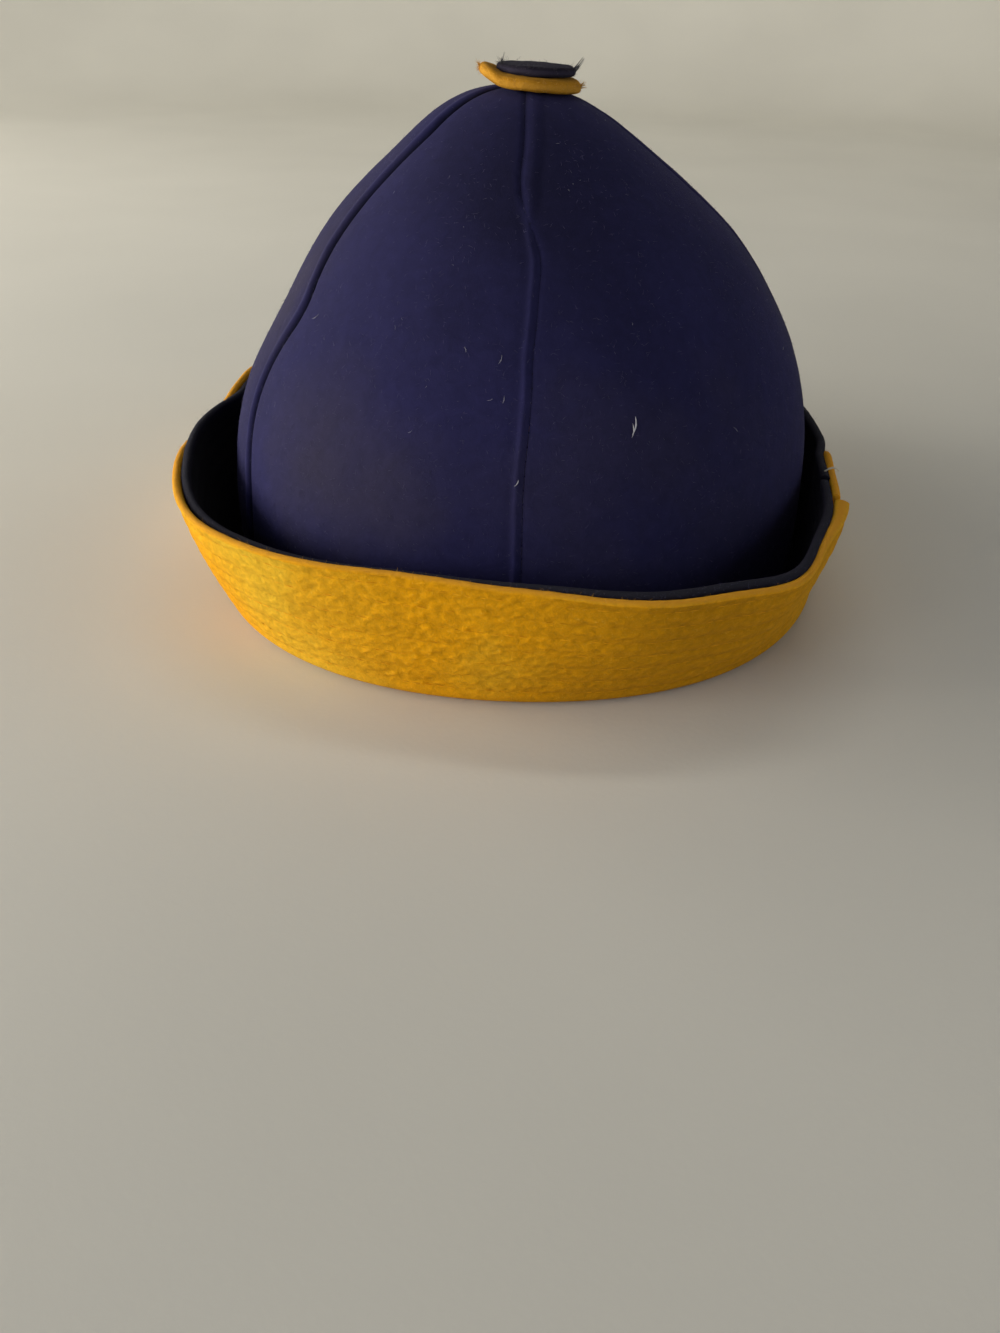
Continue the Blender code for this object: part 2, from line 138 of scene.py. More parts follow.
# Cross-sections of a seam: its groove, the welt over the felt that was turned in, which stands beside
# it, towards +azimuth where its place is above 0, and the shallow valley along the welt's far side
SeamSection = namedtuple(
    "SeamSection", "groove_mm groove_reach_mm welt_at_mm welt_mm welt_reach_mm valley_at_mm valley_mm")
LEFTWARD_SEAM = SeamSection(1.00, 1.10, -2.4, 0.45, 1.50, -5.0, 0.10)
RIGHTWARD_SEAM = SeamSection(1.00, 1.10, 2.4, 0.45, 1.50, 5.0, 0.10)
OPEN_SEAM = SeamSection(1.80, 1.05, -2.4, 0.55, 1.50, -5.0, 0.12)
FINE_SEAM = SeamSection(0.46, 0.90, 3.0, 0.22, 1.50, 5.6, 0.20)
PRESSED_SEAM = SeamSection(0.45, 0.80, 2.4, 0.22, 1.50, 5.0, 0.05)
RIDGED_SEAM = SeamSection(0.20, 0.62, -1.9, 0.36, 0.80, -4.0, 0.05)
VALLEY_REACH = 1.3 * MM

# Seams: how far they drift on the way up, or the course that they follow, and their cross-sections
# from the base up and towards the point
SEAM_ROWS = table(
    "SeamRow", "azimuth_deg drift_deg course lower upper",
    (-137.0, 1.5, None, LEFTWARD_SEAM, LEFTWARD_SEAM),
    (-57.5, 0.0, "left_deg", OPEN_SEAM, OPEN_SEAM),
    (0.0, 0.0, "front_deg", RIDGED_SEAM, FINE_SEAM),
    (80.0, 6.0, None, PRESSED_SEAM, PRESSED_SEAM),
    (150.0, -2.0, None, RIGHTWARD_SEAM, RIGHTWARD_SEAM),
)
SECTION_CHANGE_START = 0.66
SECTION_CHANGE_END = 0.75
CROSSOVER_CLOSING = 0.9

# How far the two seams in front wander from their azimuths, by the share of the way up
SEAM_COURSE_ROWS = table(
    "SeamCourseRow", "share left_deg front_deg",
    (0.00, 0.0, 0.8),
    (0.16, 0.0, 0.9),
    (0.22, -1.3, 0.8),
    (0.28, -4.1, 0.4),
    (0.34, -6.2, 0.3),
    (0.40, -6.0, 1.2),
    (0.45, -3.9, 1.6),
    (0.50, -2.4, 1.6),
    (0.55, -4.4, 1.7),
    (0.60, -6.2, 2.2),
    (0.66, -6.4, 2.7),
    (0.72, -5.1, -0.4),
    (0.78, -2.6, -1.6),
    (0.84, -1.0, -0.7),
    (0.90, -1.0, -0.9),
    (1.00, -1.5, -2.0),
)
SEAM_DRIFT_START = 0.15
SEAM_DRIFT_END = 0.50

# Beside a seam the rubbed patches and the patches of painted light and shade are cut back
SEAM_PATCH_CUT = 0.9
SEAM_PATCH_REACH = 1.8 * MM

# Stitches deep in the seams, and the felt turned in behind them: its outline across, as shares of its
# width, with how deep under the gore's inner face each point lies
SEAM_THREAD_DEPTH = 0.22 * MM
SEAM_STITCH_REACH = 0.60 * MM
SEAM_STITCH_SLANT = 0.4 * MM
SEAM_STITCH_BOW = 0.12 * MM
ALLOWANCE_WIDTH = 7.0 * MM
ALLOWANCE_INSET = 0.3 * MM
ALLOWANCE_WOBBLE = 0.3 * MM
ALLOWANCE_WAVE = 9.0 * MM
ALLOWANCE_LEVELS = 60
ALLOWANCE_OUTLINE = (
    (0.0, 0.15), (0.5, 0.15), (0.94, 0.15), (1.0, 0.8), (0.94, 1.7), (0.5, 1.8), (0.0, 1.8))

# Soft dents of the worn crown
DENT_ROWS = table(
    "DentRow", "azimuth_deg height_mm depth_mm wide_deg tall_mm",
    (-90.0, 73.0, 1.4, 18.0, 18.0),
    (-32.0, 58.0, 0.8, 13.0, 17.0),
    (33.0, 74.0, 0.7, 14.0, 20.0),
    (112.0, 70.0, 0.8, 16.0, 18.0),
    (152.0, 62.0, 0.9, 15.0, 20.0),
    (-148.0, 80.0, 0.8, 14.0, 18.0),
)

# Unevenness of the pressed felt: how large each kind is, its share, and where its pattern starts
FELT_WAVES = table(
    "FeltWave", "size_mm share shift",
    (23.0, 0.62, (0.0, 0.0, 0.0)),
    (7.0, 0.30, (3.1, 0.0, 7.7)),
    (2.4, 0.12, (9.2, 4.4, 0.0)),
)

# Patches on the crown's felt. At the front and left they are painted light and shade: greyer painted sheen
# where the light grazes the fuzz, and darker painted shade on the front, high up and low by the brim. Round
# the back they are rubbed felt and uneven dye. How far across and along each reaches, and how strong it is,
# above 0 greyer and below 0 darker
WEAR_AND_LIGHT_ROWS = table(
    "WearAndLightRow", "azimuth_deg share wide_deg tall strength",
    (-36.0, 0.37, 15.0, 0.10, 0.50),
    (-23.0, 0.29, 14.0, 0.10, 0.62),
    (-72.0, 0.46, 8.0, 0.20, 0.55),
    (-8.0, 0.73, 11.0, 0.09, -0.55),
    (-34.0, 0.78, 12.0, 0.09, -0.30),
    (-13.0, 0.17, 15.0, 0.06, -0.22),
    (4.0, 0.80, 42.0, 0.16, -0.75),
    (12.0, 0.62, 16.0, 0.12, -0.40),
    (-16.0, 0.56, 7.0, 0.06, -0.45),
    (100.0, 0.45, 22.0, 0.13, 0.50),
    (168.0, 0.52, 26.0, 0.15, 0.60),
    (-125.0, 0.40, 20.0, 0.12, 0.45),
    (-160.0, 0.72, 24.0, 0.12, -0.45),
)

# Brim: its fold lies on the surface, and its wall leans out by an angle that changes round the hat
FOLD_START = 4.1 * MM
FOLD_RADIUS = 5.0 * MM
BRIM_WIDTH = 45.0 * MM
CREASE_RADIUS = 0.6 * MM
WALL_BULGE = 1.1 * MM

# Rows of stitches on the brim: how far a row wanders, how its stitches are set against the row before,
# how high they bow, and the groove and the wider hollow that the row pulls into the felt, with the part
# of each that comes and goes with the needle's holes
STITCH_ROWS = 7
STITCH_GROOVE_SHARE = 0.36
ROW_WANDER = 0.25 * MM
ROW_WANDER_LENGTH = 14.0 * MM
ROW_STAGGER = 0.37
ROW_FELT_REACH = 5.0 * MM
ROW_GROOVE_REACH = 0.60 * MM
ROW_GROOVE_SHARE = 0.34
ROW_GROOVE_BEAT = 0.08
ROW_HOLLOW_REACH = 1.75 * MM
ROW_HOLLOW_SHARE = 0.60
ROW_HOLLOW_BEAT = 0.06
STITCH_BOW = 0.10 * MM
STITCH_SINK = 0.06 * MM
THREAD_SIDES = 5
HEM_STITCHES = 150
HEM_INSET = 0.6 * MM
HEM_HEIGHT = 0.28 * MM

BRIM_ROWS = table(
    "BrimRow", "azimuth_deg flare_deg",
    (-145.0, 9.0),
    (-110.0, 7.0),
    (-97.0, 1.5),
    (-86.0, 4.5),
    (-71.0, 11.5),
    (-61.0, 15.5),
    (-50.0, 19.0),
    (-38.0, 17.5),
    (-26.0, 14.5),
    (-15.0, 11.5),
    (-4.0, 13.5),
    (7.0, 17.5),
    (18.0, 23.0),
    (30.0, 24.5),
    (38.0, 25.0),
    (45.0, 16.0),
    (54.0, 8.0),
    (65.0, 1.0),
    (78.0, -2.0),
    (95.0, -1.5),
    (118.0, 4.0),
    (150.0, 9.0),
    (180.0, 10.0),
)

# Ends of the plies: they meet at the right, each ply at its own place, and part towards the top edge
SHELL_END_AZIMUTH_DEG = 59.0
FACING_END_AZIMUTH_DEG = 65.0
END_HALF_GAP = 0.15 * MM
END_NOTCH_HALF_WIDTH = 1.2 * MM
END_NOTCH_FOOT = 28.0 * MM
END_NOTCH_TOP = 44.0 * MM
FRONT_END_LIFT = 3.7 * MM
FRONT_END_LIFT_REACH = 22.0 * MM
FRONT_END_PUFF = 0.52
REAR_END_LIFT = 0.6 * MM
REAR_END_LIFT_REACH = 11.0 * MM
END_LIFT_FOOT = 10.0 * MM

# Cut edges: how far below the brim's full width each ply was trimmed, and how far the facing leans
# out there, over the shell's edge where that was cut lower
EDGE_ROWS = table(
    "EdgeRow", "azimuth_deg shell_drop_mm facing_drop_mm facing_lean_mm",
    (-150.0, 0.2, 0.3, 0.0),
    (-112.0, 0.2, 0.6, 0.0),
    (-98.0, 0.2, 0.6, 0.0),
    (-91.0, 2.2, 0.2, 1.5),
    (-83.0, 3.2, 0.1, 2.1),
    (-75.0, 1.2, 0.1, 1.2),
    (-68.0, 0.2, 0.2, 0.2),
    (-55.0, 0.1, 0.9, 0.0),
    (-40.0, 0.1, 1.9, 0.0),
    (-22.0, 0.1, 2.0, 0.0),
    (-8.0, 0.1, 1.6, 0.0),
    (6.0, 0.1, 0.9, 0.0),
    (20.0, 0.1, 0.3, 0.0),
    (34.0, 0.1, 0.1, 0.4),
    (46.0, 0.1, 0.1, 1.9),
    (56.0, 0.1, 0.1, 1.9),
    (64.0, 0.2, 0.1, 0.9),
    (70.0, 0.2, 0.2, 0.5),
    (76.0, 0.4, 0.2, 0.6),
    (80.0, 2.8, 0.1, 1.9),
    (85.0, 4.6, 0.1, 2.3),
    (96.0, 3.6, 0.1, 1.8),
    (112.0, 1.0, 0.2, 0.4),
    (135.0, 0.2, 0.3, 0.0),
    (170.0, 0.2, 0.3, 0.0),
)
EDGE_ROUNDING = 1.0 * MM
EDGE_STEPS = 8
EDGE_WOBBLE = 0.22 * MM
EDGE_WAVE_LENGTH = 15.0 * MM
EDGE_NICK_LENGTH = 4.0 * MM
EDGE_ROUGHNESS = 0.12 * MM
EDGE_ROUGHNESS_LENGTH = 1.7 * MM

# The loose thread at the facing's ends: its bends, and its thickness at each
LOOSE_THREAD_PAST_END_DEG = 1.6
LOOSE_THREAD_BENDS = table(
    "ThreadBend", "out_mm onward_mm up_mm thickness_mm",
    (-1.6, 0.2, -0.4, 0.55),
    (-0.8, 0.2, 0.5, 0.605),
    (0.3, 0.5, 1.0, 0.55),
    (1.3, 1.0, 0.7, 0.495),
    (2.1, 1.3, 0.0, 0.33),
)

# The shell's felt is crumpled most at the front, left of the middle
CRUMPLE_AZIMUTH_DEG = -12.0
CRUMPLE_WIDTH_DEG = 32.0
CRUMPLE_LEAST = 0.14
CRUMPLE_SLANT_DEG = 38.0
CRUMPLE_LONG = 2.7 * MM
CRUMPLE_SHORT = 1.5 * MM
CRUMPLE_BEND = 1.6 * MM
CRUMPLE_BEND_LENGTH = 6.0 * MM
CRUMPLE_BEND_SHIFTS = ((11.3, 5.7, 2.9), (-7.1, 14.2, 8.4))
FACING_UNEVENNESS = 0.25 * MM

# How far a lump and a row stand out where the painted light on a lump and the painted shade in a crease or
# row are in full, and the middle tone of that painted light and shade
LUMP_TONE_DEPTH = 0.60 * MM
ROW_TONE_DEPTH = 2.2 * MM
SHELL_TONE_LIFT = 0.10
CRUMPLE_GRAIN = 1.5 * MM
CRUMPLE_SWELL = 9.0 * MM

# Painted light and shade on the shell's felt round the brim: above 0 yellower and paler, painted light,
# below 0 deeper, painted shade
SHELL_LIGHT_ROWS = table(
    "ShellLightRow", "azimuth_deg strength",
    (-150.0, 0.0),
    (-105.0, 0.0),
    (-76.0, -0.60),
    (-62.0, -0.55),
    (-50.0, -0.05),
    (-40.0, 0.55),
    (-25.0, 0.50),
    (-8.0, 0.10),
    (4.0, -0.30),
    (16.0, -0.62),
    (36.0, -0.50),
    (52.0, -0.35),
    (90.0, -0.10),
)

# Button: two discs, tilted down towards +X
BASE_DISC_RADIUS = 13.9 * MM
BASE_DISC_SHIFT = -0.4 * MM
BASE_DISC_TOP = 137.0 * MM
BASE_DISC_CURL = 2.1 * MM
BASE_DISC_CURL_START = 7.0 * MM
BASE_DISC_ROUNDING = 2.5 * MM
TOP_DISC_RADIUS = 10.6 * MM
TOP_DISC_THICKNESS = 2.3 * MM
TOP_DISC_SHIFT = 1.1 * MM
TOP_DISC_ROUNDING = 0.9 * MM
TOP_DISC_TILT_DEG = 1.7
DISC_TILT_DEG = 3.8
DISC_DOME = 0.5 * MM
DISC_ROUGHNESS = 0.14 * MM
DISC_ROUGHNESS_SIZE = 3.0 * MM
DISC_LUMP = 0.22 * MM
RIM_FIBRE_INSET = 0.3 * MM
BASE_RIM_FIBRE_DROP = 1.6 * MM
EDGE_FIBRE_DROP = 0.6 * MM
FUZZ_ROOT_LIFT = 0.05 * MM

# How finely the visible felt is divided
CROWN_LEVELS = 104
SEAM_STRIPS = 18
SEAM_STRIP_WIDTH = 0.36 * MM
SEAM_INSIDE_STRIPS = 3
LEVEL_CROWDING = 0.94
GORE_MIDDLE_STRIPS = 30
GORE_INSIDE_STRIPS = 16
SHELL_STATIONS = 780
SHELL_WALL_STEPS = 78
FACING_STATIONS = 420
FACING_WALL_STEPS = 42
HIDDEN_WALL_STEPS = 6
FOLD_STEPS = 9
DISC_SIDES = 108
DISC_RIM_STEPS = 14
DISC_FACE_STEPS = 9
SMOOTH_ANGLE_DEG = 50.0
SLOPE_STEP = 0.5 * MM
GIRTH = math.pi * (CROWN_HALF_WIDTH + CROWN_HALF_DEPTH + 2.0 * FOLD_START)
CROWN_GIRTH = math.pi * (CROWN_HALF_WIDTH + CROWN_HALF_DEPTH)
FOOT_SEARCH_SHARE = 0.2
FOOT_SEARCH_STEPS = 24

# Camera: the photograph's size and what was measured in it, in its pixels
PHOTO_WIDTH_PX = 1000.0
PHOTO_HEIGHT_PX = 1333.0
FOCAL_LENGTH_PX = 1050.0
AIM_PX = (519.0, 448.0)
AIM_HEIGHT = 30.0 * MM
CAMERA_DISTANCE = 350.2 * MM
CAMERA_ELEVATION_DEG = 22.0
CAMERA_ROLL_DEG = 2.0
SENSOR_MM = 36.0


def linear_colour(hex_code):
    """An sRGB hex colour as linear red, green and blue."""
    channels = [int(hex_code[i:i + 2], 16) / 255.0 for i in (1, 3, 5)]
    return tuple(c / 12.92 if c <= 0.04045 else ((c + 0.055) / 1.055) ** 2.4 for c in channels)


def length_property(name, description, default):
    """A length that a user can change."""
    return FloatProperty(name=name, description=description, default=default, unit="LENGTH")


def colour_property(name, description, hex_code):
    """A colour that a user can change."""
    return FloatVectorProperty(
        name=name, description=description, default=linear_colour(hex_code), min=0.0, max=1.0,
        subtype="COLOR")


class BeanieSizes(PropertyGroup):
    """Sizes of the threads and fibres, and how rough the felt is."""

    stitch_length: length_property("Brim Stitch", "Length of one machine stitch of the brim", 3.1 * MM)
    stitch_thickness: length_property("Brim Thread", "Thickness of the brim's thread", 0.24 * MM)
    seam_stitch_length: length_property(
        "Seam Stitch", "Distance from one stitch of a crown seam to the next", 3.4 * MM)
    seam_thickness: length_property(
        "Seam Thread", "Thickness of the thread in the crown's seams", 0.30 * MM)
    crown_relief: length_property("Crown Unevenness", "How uneven the crown's felt is", 0.30 * MM)
    brim_relief: length_property(
        "Brim Crumple", "How deeply the shell's felt is crumpled between its stitches", 0.46 * MM)
    row_depth: length_property(
        "Row Depth", "How deep the rows of stitches pull the felt in", 0.62 * MM)
    fuzz_length: length_property(
        "Fuzz Length", "Length of the wool fibres that stand off the crown", 1.6 * MM)
    fuzz_count: IntProperty(
        name="Fuzz Fibres", description="Number of wool fibres that stand off the crown",
        default=11000, min=0, max=14000)
    floor_radius: length_property("Floor Radius", "Radius of the floor before it sweeps up", 1.25)


class BeanieColours(PropertyGroup):
    """Colours of the felts and the floor."""

    crown: colour_property("Crown", "Colour of the crown's felt", "#222145")
    # The facing is set darker than the crown's felt, partly as painted shade for the gutter that it lines
    facing: colour_property("Facing", "Colour of the brim's facing", "#161523")
    shell: colour_property("Shell", "Colour of the brim's outer felt", "#e39f06")
    gold_disc: colour_property("Gold Disc", "Colour of the button's lower disc", "#a9771c")
    purple_disc: colour_property("Purple Disc", "Colour of the button's upper disc", "#1e1b26")
    floor: colour_property("Floor", "Colour of the floor", "#d2d0c5")


def curve_through(knots, values):
    """A natural cubic spline through the values at the knots, as a function."""
    count = len(knots)
    steps = np.diff(knots)
    slopes = np.diff(values) / steps
    matrix = np.eye(count)
    right = np.zeros(count)
    for i in range(1, count - 1):
        matrix[i, i - 1] = steps[i - 1]
        matrix[i, i] = 2.0 * (steps[i - 1] + steps[i])
        matrix[i, i + 1] = steps[i]
        right[i] = 6.0 * (slopes[i] - slopes[i - 1])
    bends = [float(bend) for bend in np.linalg.solve(matrix, right)]
    knots = [float(knot) for knot in knots]
    values = [float(value) for value in values]

    def value_at(x):
        i = min(max(bisect_left(knots, x) - 1, 0), count - 2)
        step = knots[i + 1] - knots[i]
        ahead = (knots[i + 1] - x) / step
        behind = (x - knots[i]) / step
        cubic = (ahead ** 3 - ahead) * bends[i] + (behind ** 3 - behind) * bends[i + 1]
        return ahead * values[i] + behind * values[i + 1] + cubic * step * step / 6.0

    return value_at


def closed_curve(rows, name):
    """A smooth curve through a column against its table's azimuths, which closes after a full turn."""
    degrees = np.array(column(rows, "azimuth_deg"))
    knots = np.concatenate([degrees + turn for turn in (-360.0, 0.0, 360.0)])
    value_at = curve_through(knots, np.tile(column(rows, name), 3))
    return lambda azimuth: value_at((math.degrees(azimuth) + 180.0) % 360.0 - 180.0)


def crown_profile():
    """The side's length, and the crown's spread, height, lean and twist as curves along the side."""
    heights = np.array(column(CROWN_ROWS, "height_mm")) * MM
    spreads = np.array(column(CROWN_ROWS, "spread"))
    leans = np.array(column(CROWN_ROWS, "lean_mm")) * MM
    twists = np.radians(column(CROWN_ROWS, "twist_deg"))
    lengths = np.hypot(np.diff(heights), np.diff(spreads) * CROWN_HALF_WIDTH)
    along = np.concatenate([[0.0], np.cumsum(lengths)])
    return (along[-1],) + tuple(curve_through(along, values) for values in (spreads, heights, leans, twists))


CROWN_SIDE, SPREAD_AT, HEIGHT_AT, LEAN_AT, TWIST_AT = crown_profile()
FLARE_AT = closed_curve(BRIM_ROWS, "flare_deg")
SHELL_DROP_AT = closed_curve(EDGE_ROWS, "shell_drop_mm")
FACING_DROP_AT = closed_curve(EDGE_ROWS, "facing_drop_mm")
FACING_LEAN_AT = closed_curve(EDGE_ROWS, "facing_lean_mm")
SHELL_LIGHT_AT = closed_curve(SHELL_LIGHT_ROWS, "strength")
SEAM_COURSES = {
    name: curve_through(column(SEAM_COURSE_ROWS, "share"), column(SEAM_COURSE_ROWS, name))
    for name in ("left_deg", "front_deg")
}


def smooth_step(x):
    """0 below 0, 1 above 1, and smooth between."""
    x = min(max(x, 0.0), 1.0)
    return x * x * (3.0 - 2.0 * x)


def bell(distance, reach):
    """1 at no distance, and fading out over the reach."""
    return math.exp(-(distance / reach) ** 2)


def plan_point(azimuth, reach, height):
    """A point of the hat's plan, this far outside the crown's base: an oval with fuller corners."""
    fullness = FRONT_CORNER_FULLNESS if math.cos(azimuth) > 0.0 else BACK_CORNER_FULLNESS
    fade = 1.0 - smooth_step(height / FULLNESS_FADE_HEIGHT)
    swell = 1.0 + fullness * fade * math.sin(2.0 * azimuth) ** 2
    x = (CROWN_HALF_WIDTH + reach) * swell * math.sin(azimuth)
    y = -(CROWN_HALF_DEPTH + reach) * swell * math.cos(azimuth)
    return x, y


def angle_between(azimuth, other):
    """The signed angle from one azimuth to another, within half a turn."""
    return (azimuth - other + math.pi) % (2.0 * math.pi) - math.pi


# One level of the crown: its place up the side, its sizes there, and the slope of its side
Ring = namedtuple("Ring", "along height spread lean twist rise run seams sections")


def crown_ring(along):
    """The crown's level this far along its side, with the azimuth of each seam there."""
    low = max(along - SLOPE_STEP, 0.0)
    high = min(along + SLOPE_STEP, CROWN_SIDE)
    rise = HEIGHT_AT(high) - HEIGHT_AT(low)
    run = (SPREAD_AT(high) - SPREAD_AT(low)) * CROWN_HALF_WIDTH
    slant = math.hypot(rise, run)
    spread = SPREAD_AT(along)
    seams = [seam_azimuth(seam, along, spread) for seam in SEAM_ROWS]
    sections = [seam_section(seam, along / CROWN_SIDE) for seam in SEAM_ROWS]
    return Ring(
        along, HEIGHT_AT(along), spread, LEAN_AT(along), TWIST_AT(along), rise / slant, run / slant, seams,
        sections)


def seam_azimuth(seam, along, spread):
    """Azimuth of a seam, this far along the crown's side: it drifts, and wanders as hand-fed felt does."""
    share = along / CROWN_SIDE
    drift = seam.drift_deg * smooth_step((share - SEAM_DRIFT_START) / (SEAM_DRIFT_END - SEAM_DRIFT_START))
    if seam.course:
        drift = SEAM_COURSES[seam.course](share)
    place = Vector((along / SEAM_WOBBLE_LENGTH, seam.azimuth_deg, 0.5))
    wobble = SEAM_WOBBLE * noise.noise(place) / max(spread * CROWN_MEAN_RADIUS, RELIEF_FADE_RADIUS)
    return math.radians(seam.azimuth_deg + drift) + wobble


def seam_section(seam, share):
    """A seam's cross-section at a share of the way up. Its groove closes where the welt changes sides."""
    upper = smooth_step((share - SECTION_CHANGE_START) / (SECTION_CHANGE_END - SECTION_CHANGE_START))
    section = SeamSection(*(low + (high - low) * upper for low, high in zip(seam.lower, seam.upper)))
    changes_sides = seam.lower.welt_at_mm * seam.upper.welt_at_mm < 0.0
    closed = 4.0 * upper * (1.0 - upper) * CROSSOVER_CLOSING if changes_sides else 0.0
    return section._replace(groove_mm=section.groove_mm * (1.0 - closed))


def seam_parts(distance, section, groove_width):
    """The groove, the welt and the valley beyond it, in millimetres, at a distance from a seam."""
    groove = -section.groove_mm * bell(distance, groove_width * section.groove_reach_mm * MM)
    welt = section.welt_mm * bell(distance - section.welt_at_mm * MM, section.welt_reach_mm * MM)
    valley = -section.valley_mm * bell(distance - section.valley_at_mm * MM, VALLEY_REACH)
    return groove, welt, valley


def seam_tone(distance, section):
    """How much painted shade falls in the groove and the valley beside a seam, below 0, and painted light on
    its welt, above 0, from -1 to 1.
    """
    groove, welt, valley = seam_parts(distance, section, 0.9)
    return min(max(groove + 0.8 * welt + 0.9 * valley, -1.0), 1.0)


def crown_relief(ring, azimuth, radius):
    """How far the felt stands out of the plain oval: puffed gores, seams and dents."""
    relief = GORE_PUFF
    for section, place in zip(ring.sections, ring.seams):
        distance = angle_between(azimuth, place) * radius
        relief += sum(seam_parts(distance, section, 1.0)) * MM
        relief -= GORE_PUFF * bell(distance, GORE_PUFF_REACH)
    for dent in DENT_ROWS:
        across = angle_between(azimuth, math.radians(dent.azimuth_deg)) / math.radians(dent.wide_deg)
        up = (ring.height - dent.height_mm * MM) / (dent.tall_mm * MM)
        relief -= dent.depth_mm * MM * math.exp(-across * across - up * up)
    return relief * min(1.0, radius / RELIEF_FADE_RADIUS)


def felt_unevenness(place, strength):
    """Unevenness of a pressed felt sheet: slow waves, lumps of wool, and a finer grain."""
    relief = 0.0
    for wave in FELT_WAVES:
        relief += wave.share * noise.noise(place / (wave.size_mm * MM) + Vector(wave.shift))
    return strength * relief


def crown_point(ring, azimuth, depth, unevenness=0.0):
    """A point of the crown at this level, this deep in its felt, and the unevenness there."""
    plain_x, plain_y = plan_point(azimuth + ring.twist, 0.0, ring.height)
    radius = ring.spread * math.hypot(plain_x, plain_y)
    out = crown_relief(ring, azimuth, radius) - depth
    if unevenness:
        place = Vector((plain_x * ring.spread, plain_y * ring.spread, ring.height))
        out += felt_unevenness(place, unevenness)
    scale = ring.spread * (1.0 + out * ring.rise / max(radius, MM))
    x = ring.lean + plain_x * scale
    tilt = smooth_step((ring.height - POINT_TILT_FOOT) / (POINT_TILT_TOP - POINT_TILT_FOOT))
    drop = x * math.tan(math.radians(POINT_TILT_DEG)) * tilt
    return Vector((x, plain_y * scale, ring.height - out * ring.run - drop))


def crown_normal(ring, azimuth):
    """The direction that the crown's felt faces here."""
    plain_x, plain_y = plan_point(azimuth + ring.twist, 0.0, ring.height)
    outward = Vector((plain_x / CROWN_HALF_WIDTH ** 2, plain_y / CROWN_HALF_DEPTH ** 2, 0.0)).normalized()
    return (outward * ring.rise + Vector((0.0, 0.0, -ring.run))).normalized()


def crown_foot_along(azimuth, depth):
    """How far along the crown's side its lower edge lies, so that the edge is level."""
    low, high = 0.0, FOOT_SEARCH_SHARE * CROWN_SIDE
    for _ in range(FOOT_SEARCH_STEPS):
        middle = 0.5 * (low + high)
        if crown_point(crown_ring(middle), azimuth, depth).z < CROWN_FOOT:
            low = middle
        else:
            high = middle
    return high


def gore_columns(width, strips, middle_strips):
    """Distances across a gore of this width: close together at its seams, even between them."""
    near = [min(SEAM_STRIP_WIDTH * i, width * i / (2.6 * strips)) for i in range(strips)]
    inner = width - 2.0 * near[-1]
    middle = [near[-1] + inner * i / middle_strips for i in range(1, middle_strips)]
    return near + middle + [width - column for column in reversed(near)]


def gore_face(number, along, depth, strips, middle_strips, unevenness):
    """Points across a gore from its one seam to its other, at this level and depth."""
    ring = crown_ring(along)
    start = ring.seams[number]
    angle = (ring.seams[(number + 1) % len(SEAM_ROWS)] - start) % (2.0 * math.pi)
    radius = ring.spread * CROWN_MEAN_RADIUS
    width = radius * angle
    face = []
    for column in gore_columns(width, strips, middle_strips):
        inset = 0.5 * SEAM_GAP * (1.0 - 2.0 * column / width)
        face.append(crown_point(ring, start + (column + inset) / radius, depth, unevenness))
    return face


def fold_of(flare, depth):
    """Centre and radius of the fold, for a surface at this depth under the brim's outer face."""
    distance = max(FOLD_RADIUS, depth + CREASE_RADIUS)
    corner_reach = FOLD_START + FOLD_RADIUS * math.cos(flare)
    corner_height = FOLD_RADIUS * (1.0 - math.sin(flare))
    offset = (distance + (corner_height - distance) * math.sin(flare)) / math.cos(flare)
    return corner_reach - offset, distance, distance - depth


# One face of the brim at an azimuth: its lean, its fold's points, and where its wall starts and ends
BrimFace = namedtuple("BrimFace", "flare fold foot top length")


def brim_face(azimuth, depth):
    """The brim's face at an azimuth, this deep under its outer face."""
    flare = math.radians(FLARE_AT(azimuth))
    reach, height, radius = fold_of(flare, depth)
    fold = [(-CROWN_FELT, height - radius)]
    for i in range(FOLD_STEPS + 1):
        angle = -0.5 * math.pi + (0.5 * math.pi - flare) * i / FOLD_STEPS
        fold.append((reach + radius * math.cos(angle), height + radius * math.sin(angle)))
    wall = BRIM_WIDTH - FOLD_RADIUS * (0.5 * math.pi - flare)
    top_reach = FOLD_START + (FOLD_RADIUS - depth) * math.cos(flare) + wall * math.sin(flare)
    top_height = FOLD_RADIUS - (FOLD_RADIUS - depth) * math.sin(flare) + wall * math.cos(flare)
    return BrimFace(flare, fold, fold[-1], (top_reach, top_height), wall)


def wall_point(face, share, relief):
    """Reach and height of a point this share of the way up the brim's wall, standing out by the relief."""
    out = relief + WALL_BULGE * math.sin(math.pi * share)
    reach = face.foot[0] + (face.top[0] - face.foot[0]) * share + out * math.cos(face.flare)
    height = face.foot[1] + (face.top[1] - face.foot[1]) * share - out * math.sin(face.flare)
    return reach, height


def end_lift(share):
    """How far the shell lifts off the facing near each of its ends, at its top edge."""
    rear = REAR_END_LIFT * bell(share * CROWN_GIRTH, REAR_END_LIFT_REACH)
    front = FRONT_END_LIFT * bell((1.0 - share) * CROWN_GIRTH, FRONT_END_LIFT_REACH)
    return rear + front


def shell_leans(share):
    """How far the shell's outer and inner faces lean out: at its front end the felt is puffed up."""
    lean = end_lift(share)
    puff = FRONT_END_PUFF * bell((1.0 - share) * CROWN_GIRTH, FRONT_END_LIFT_REACH)
    return lean, lean * (1.0 - puff)


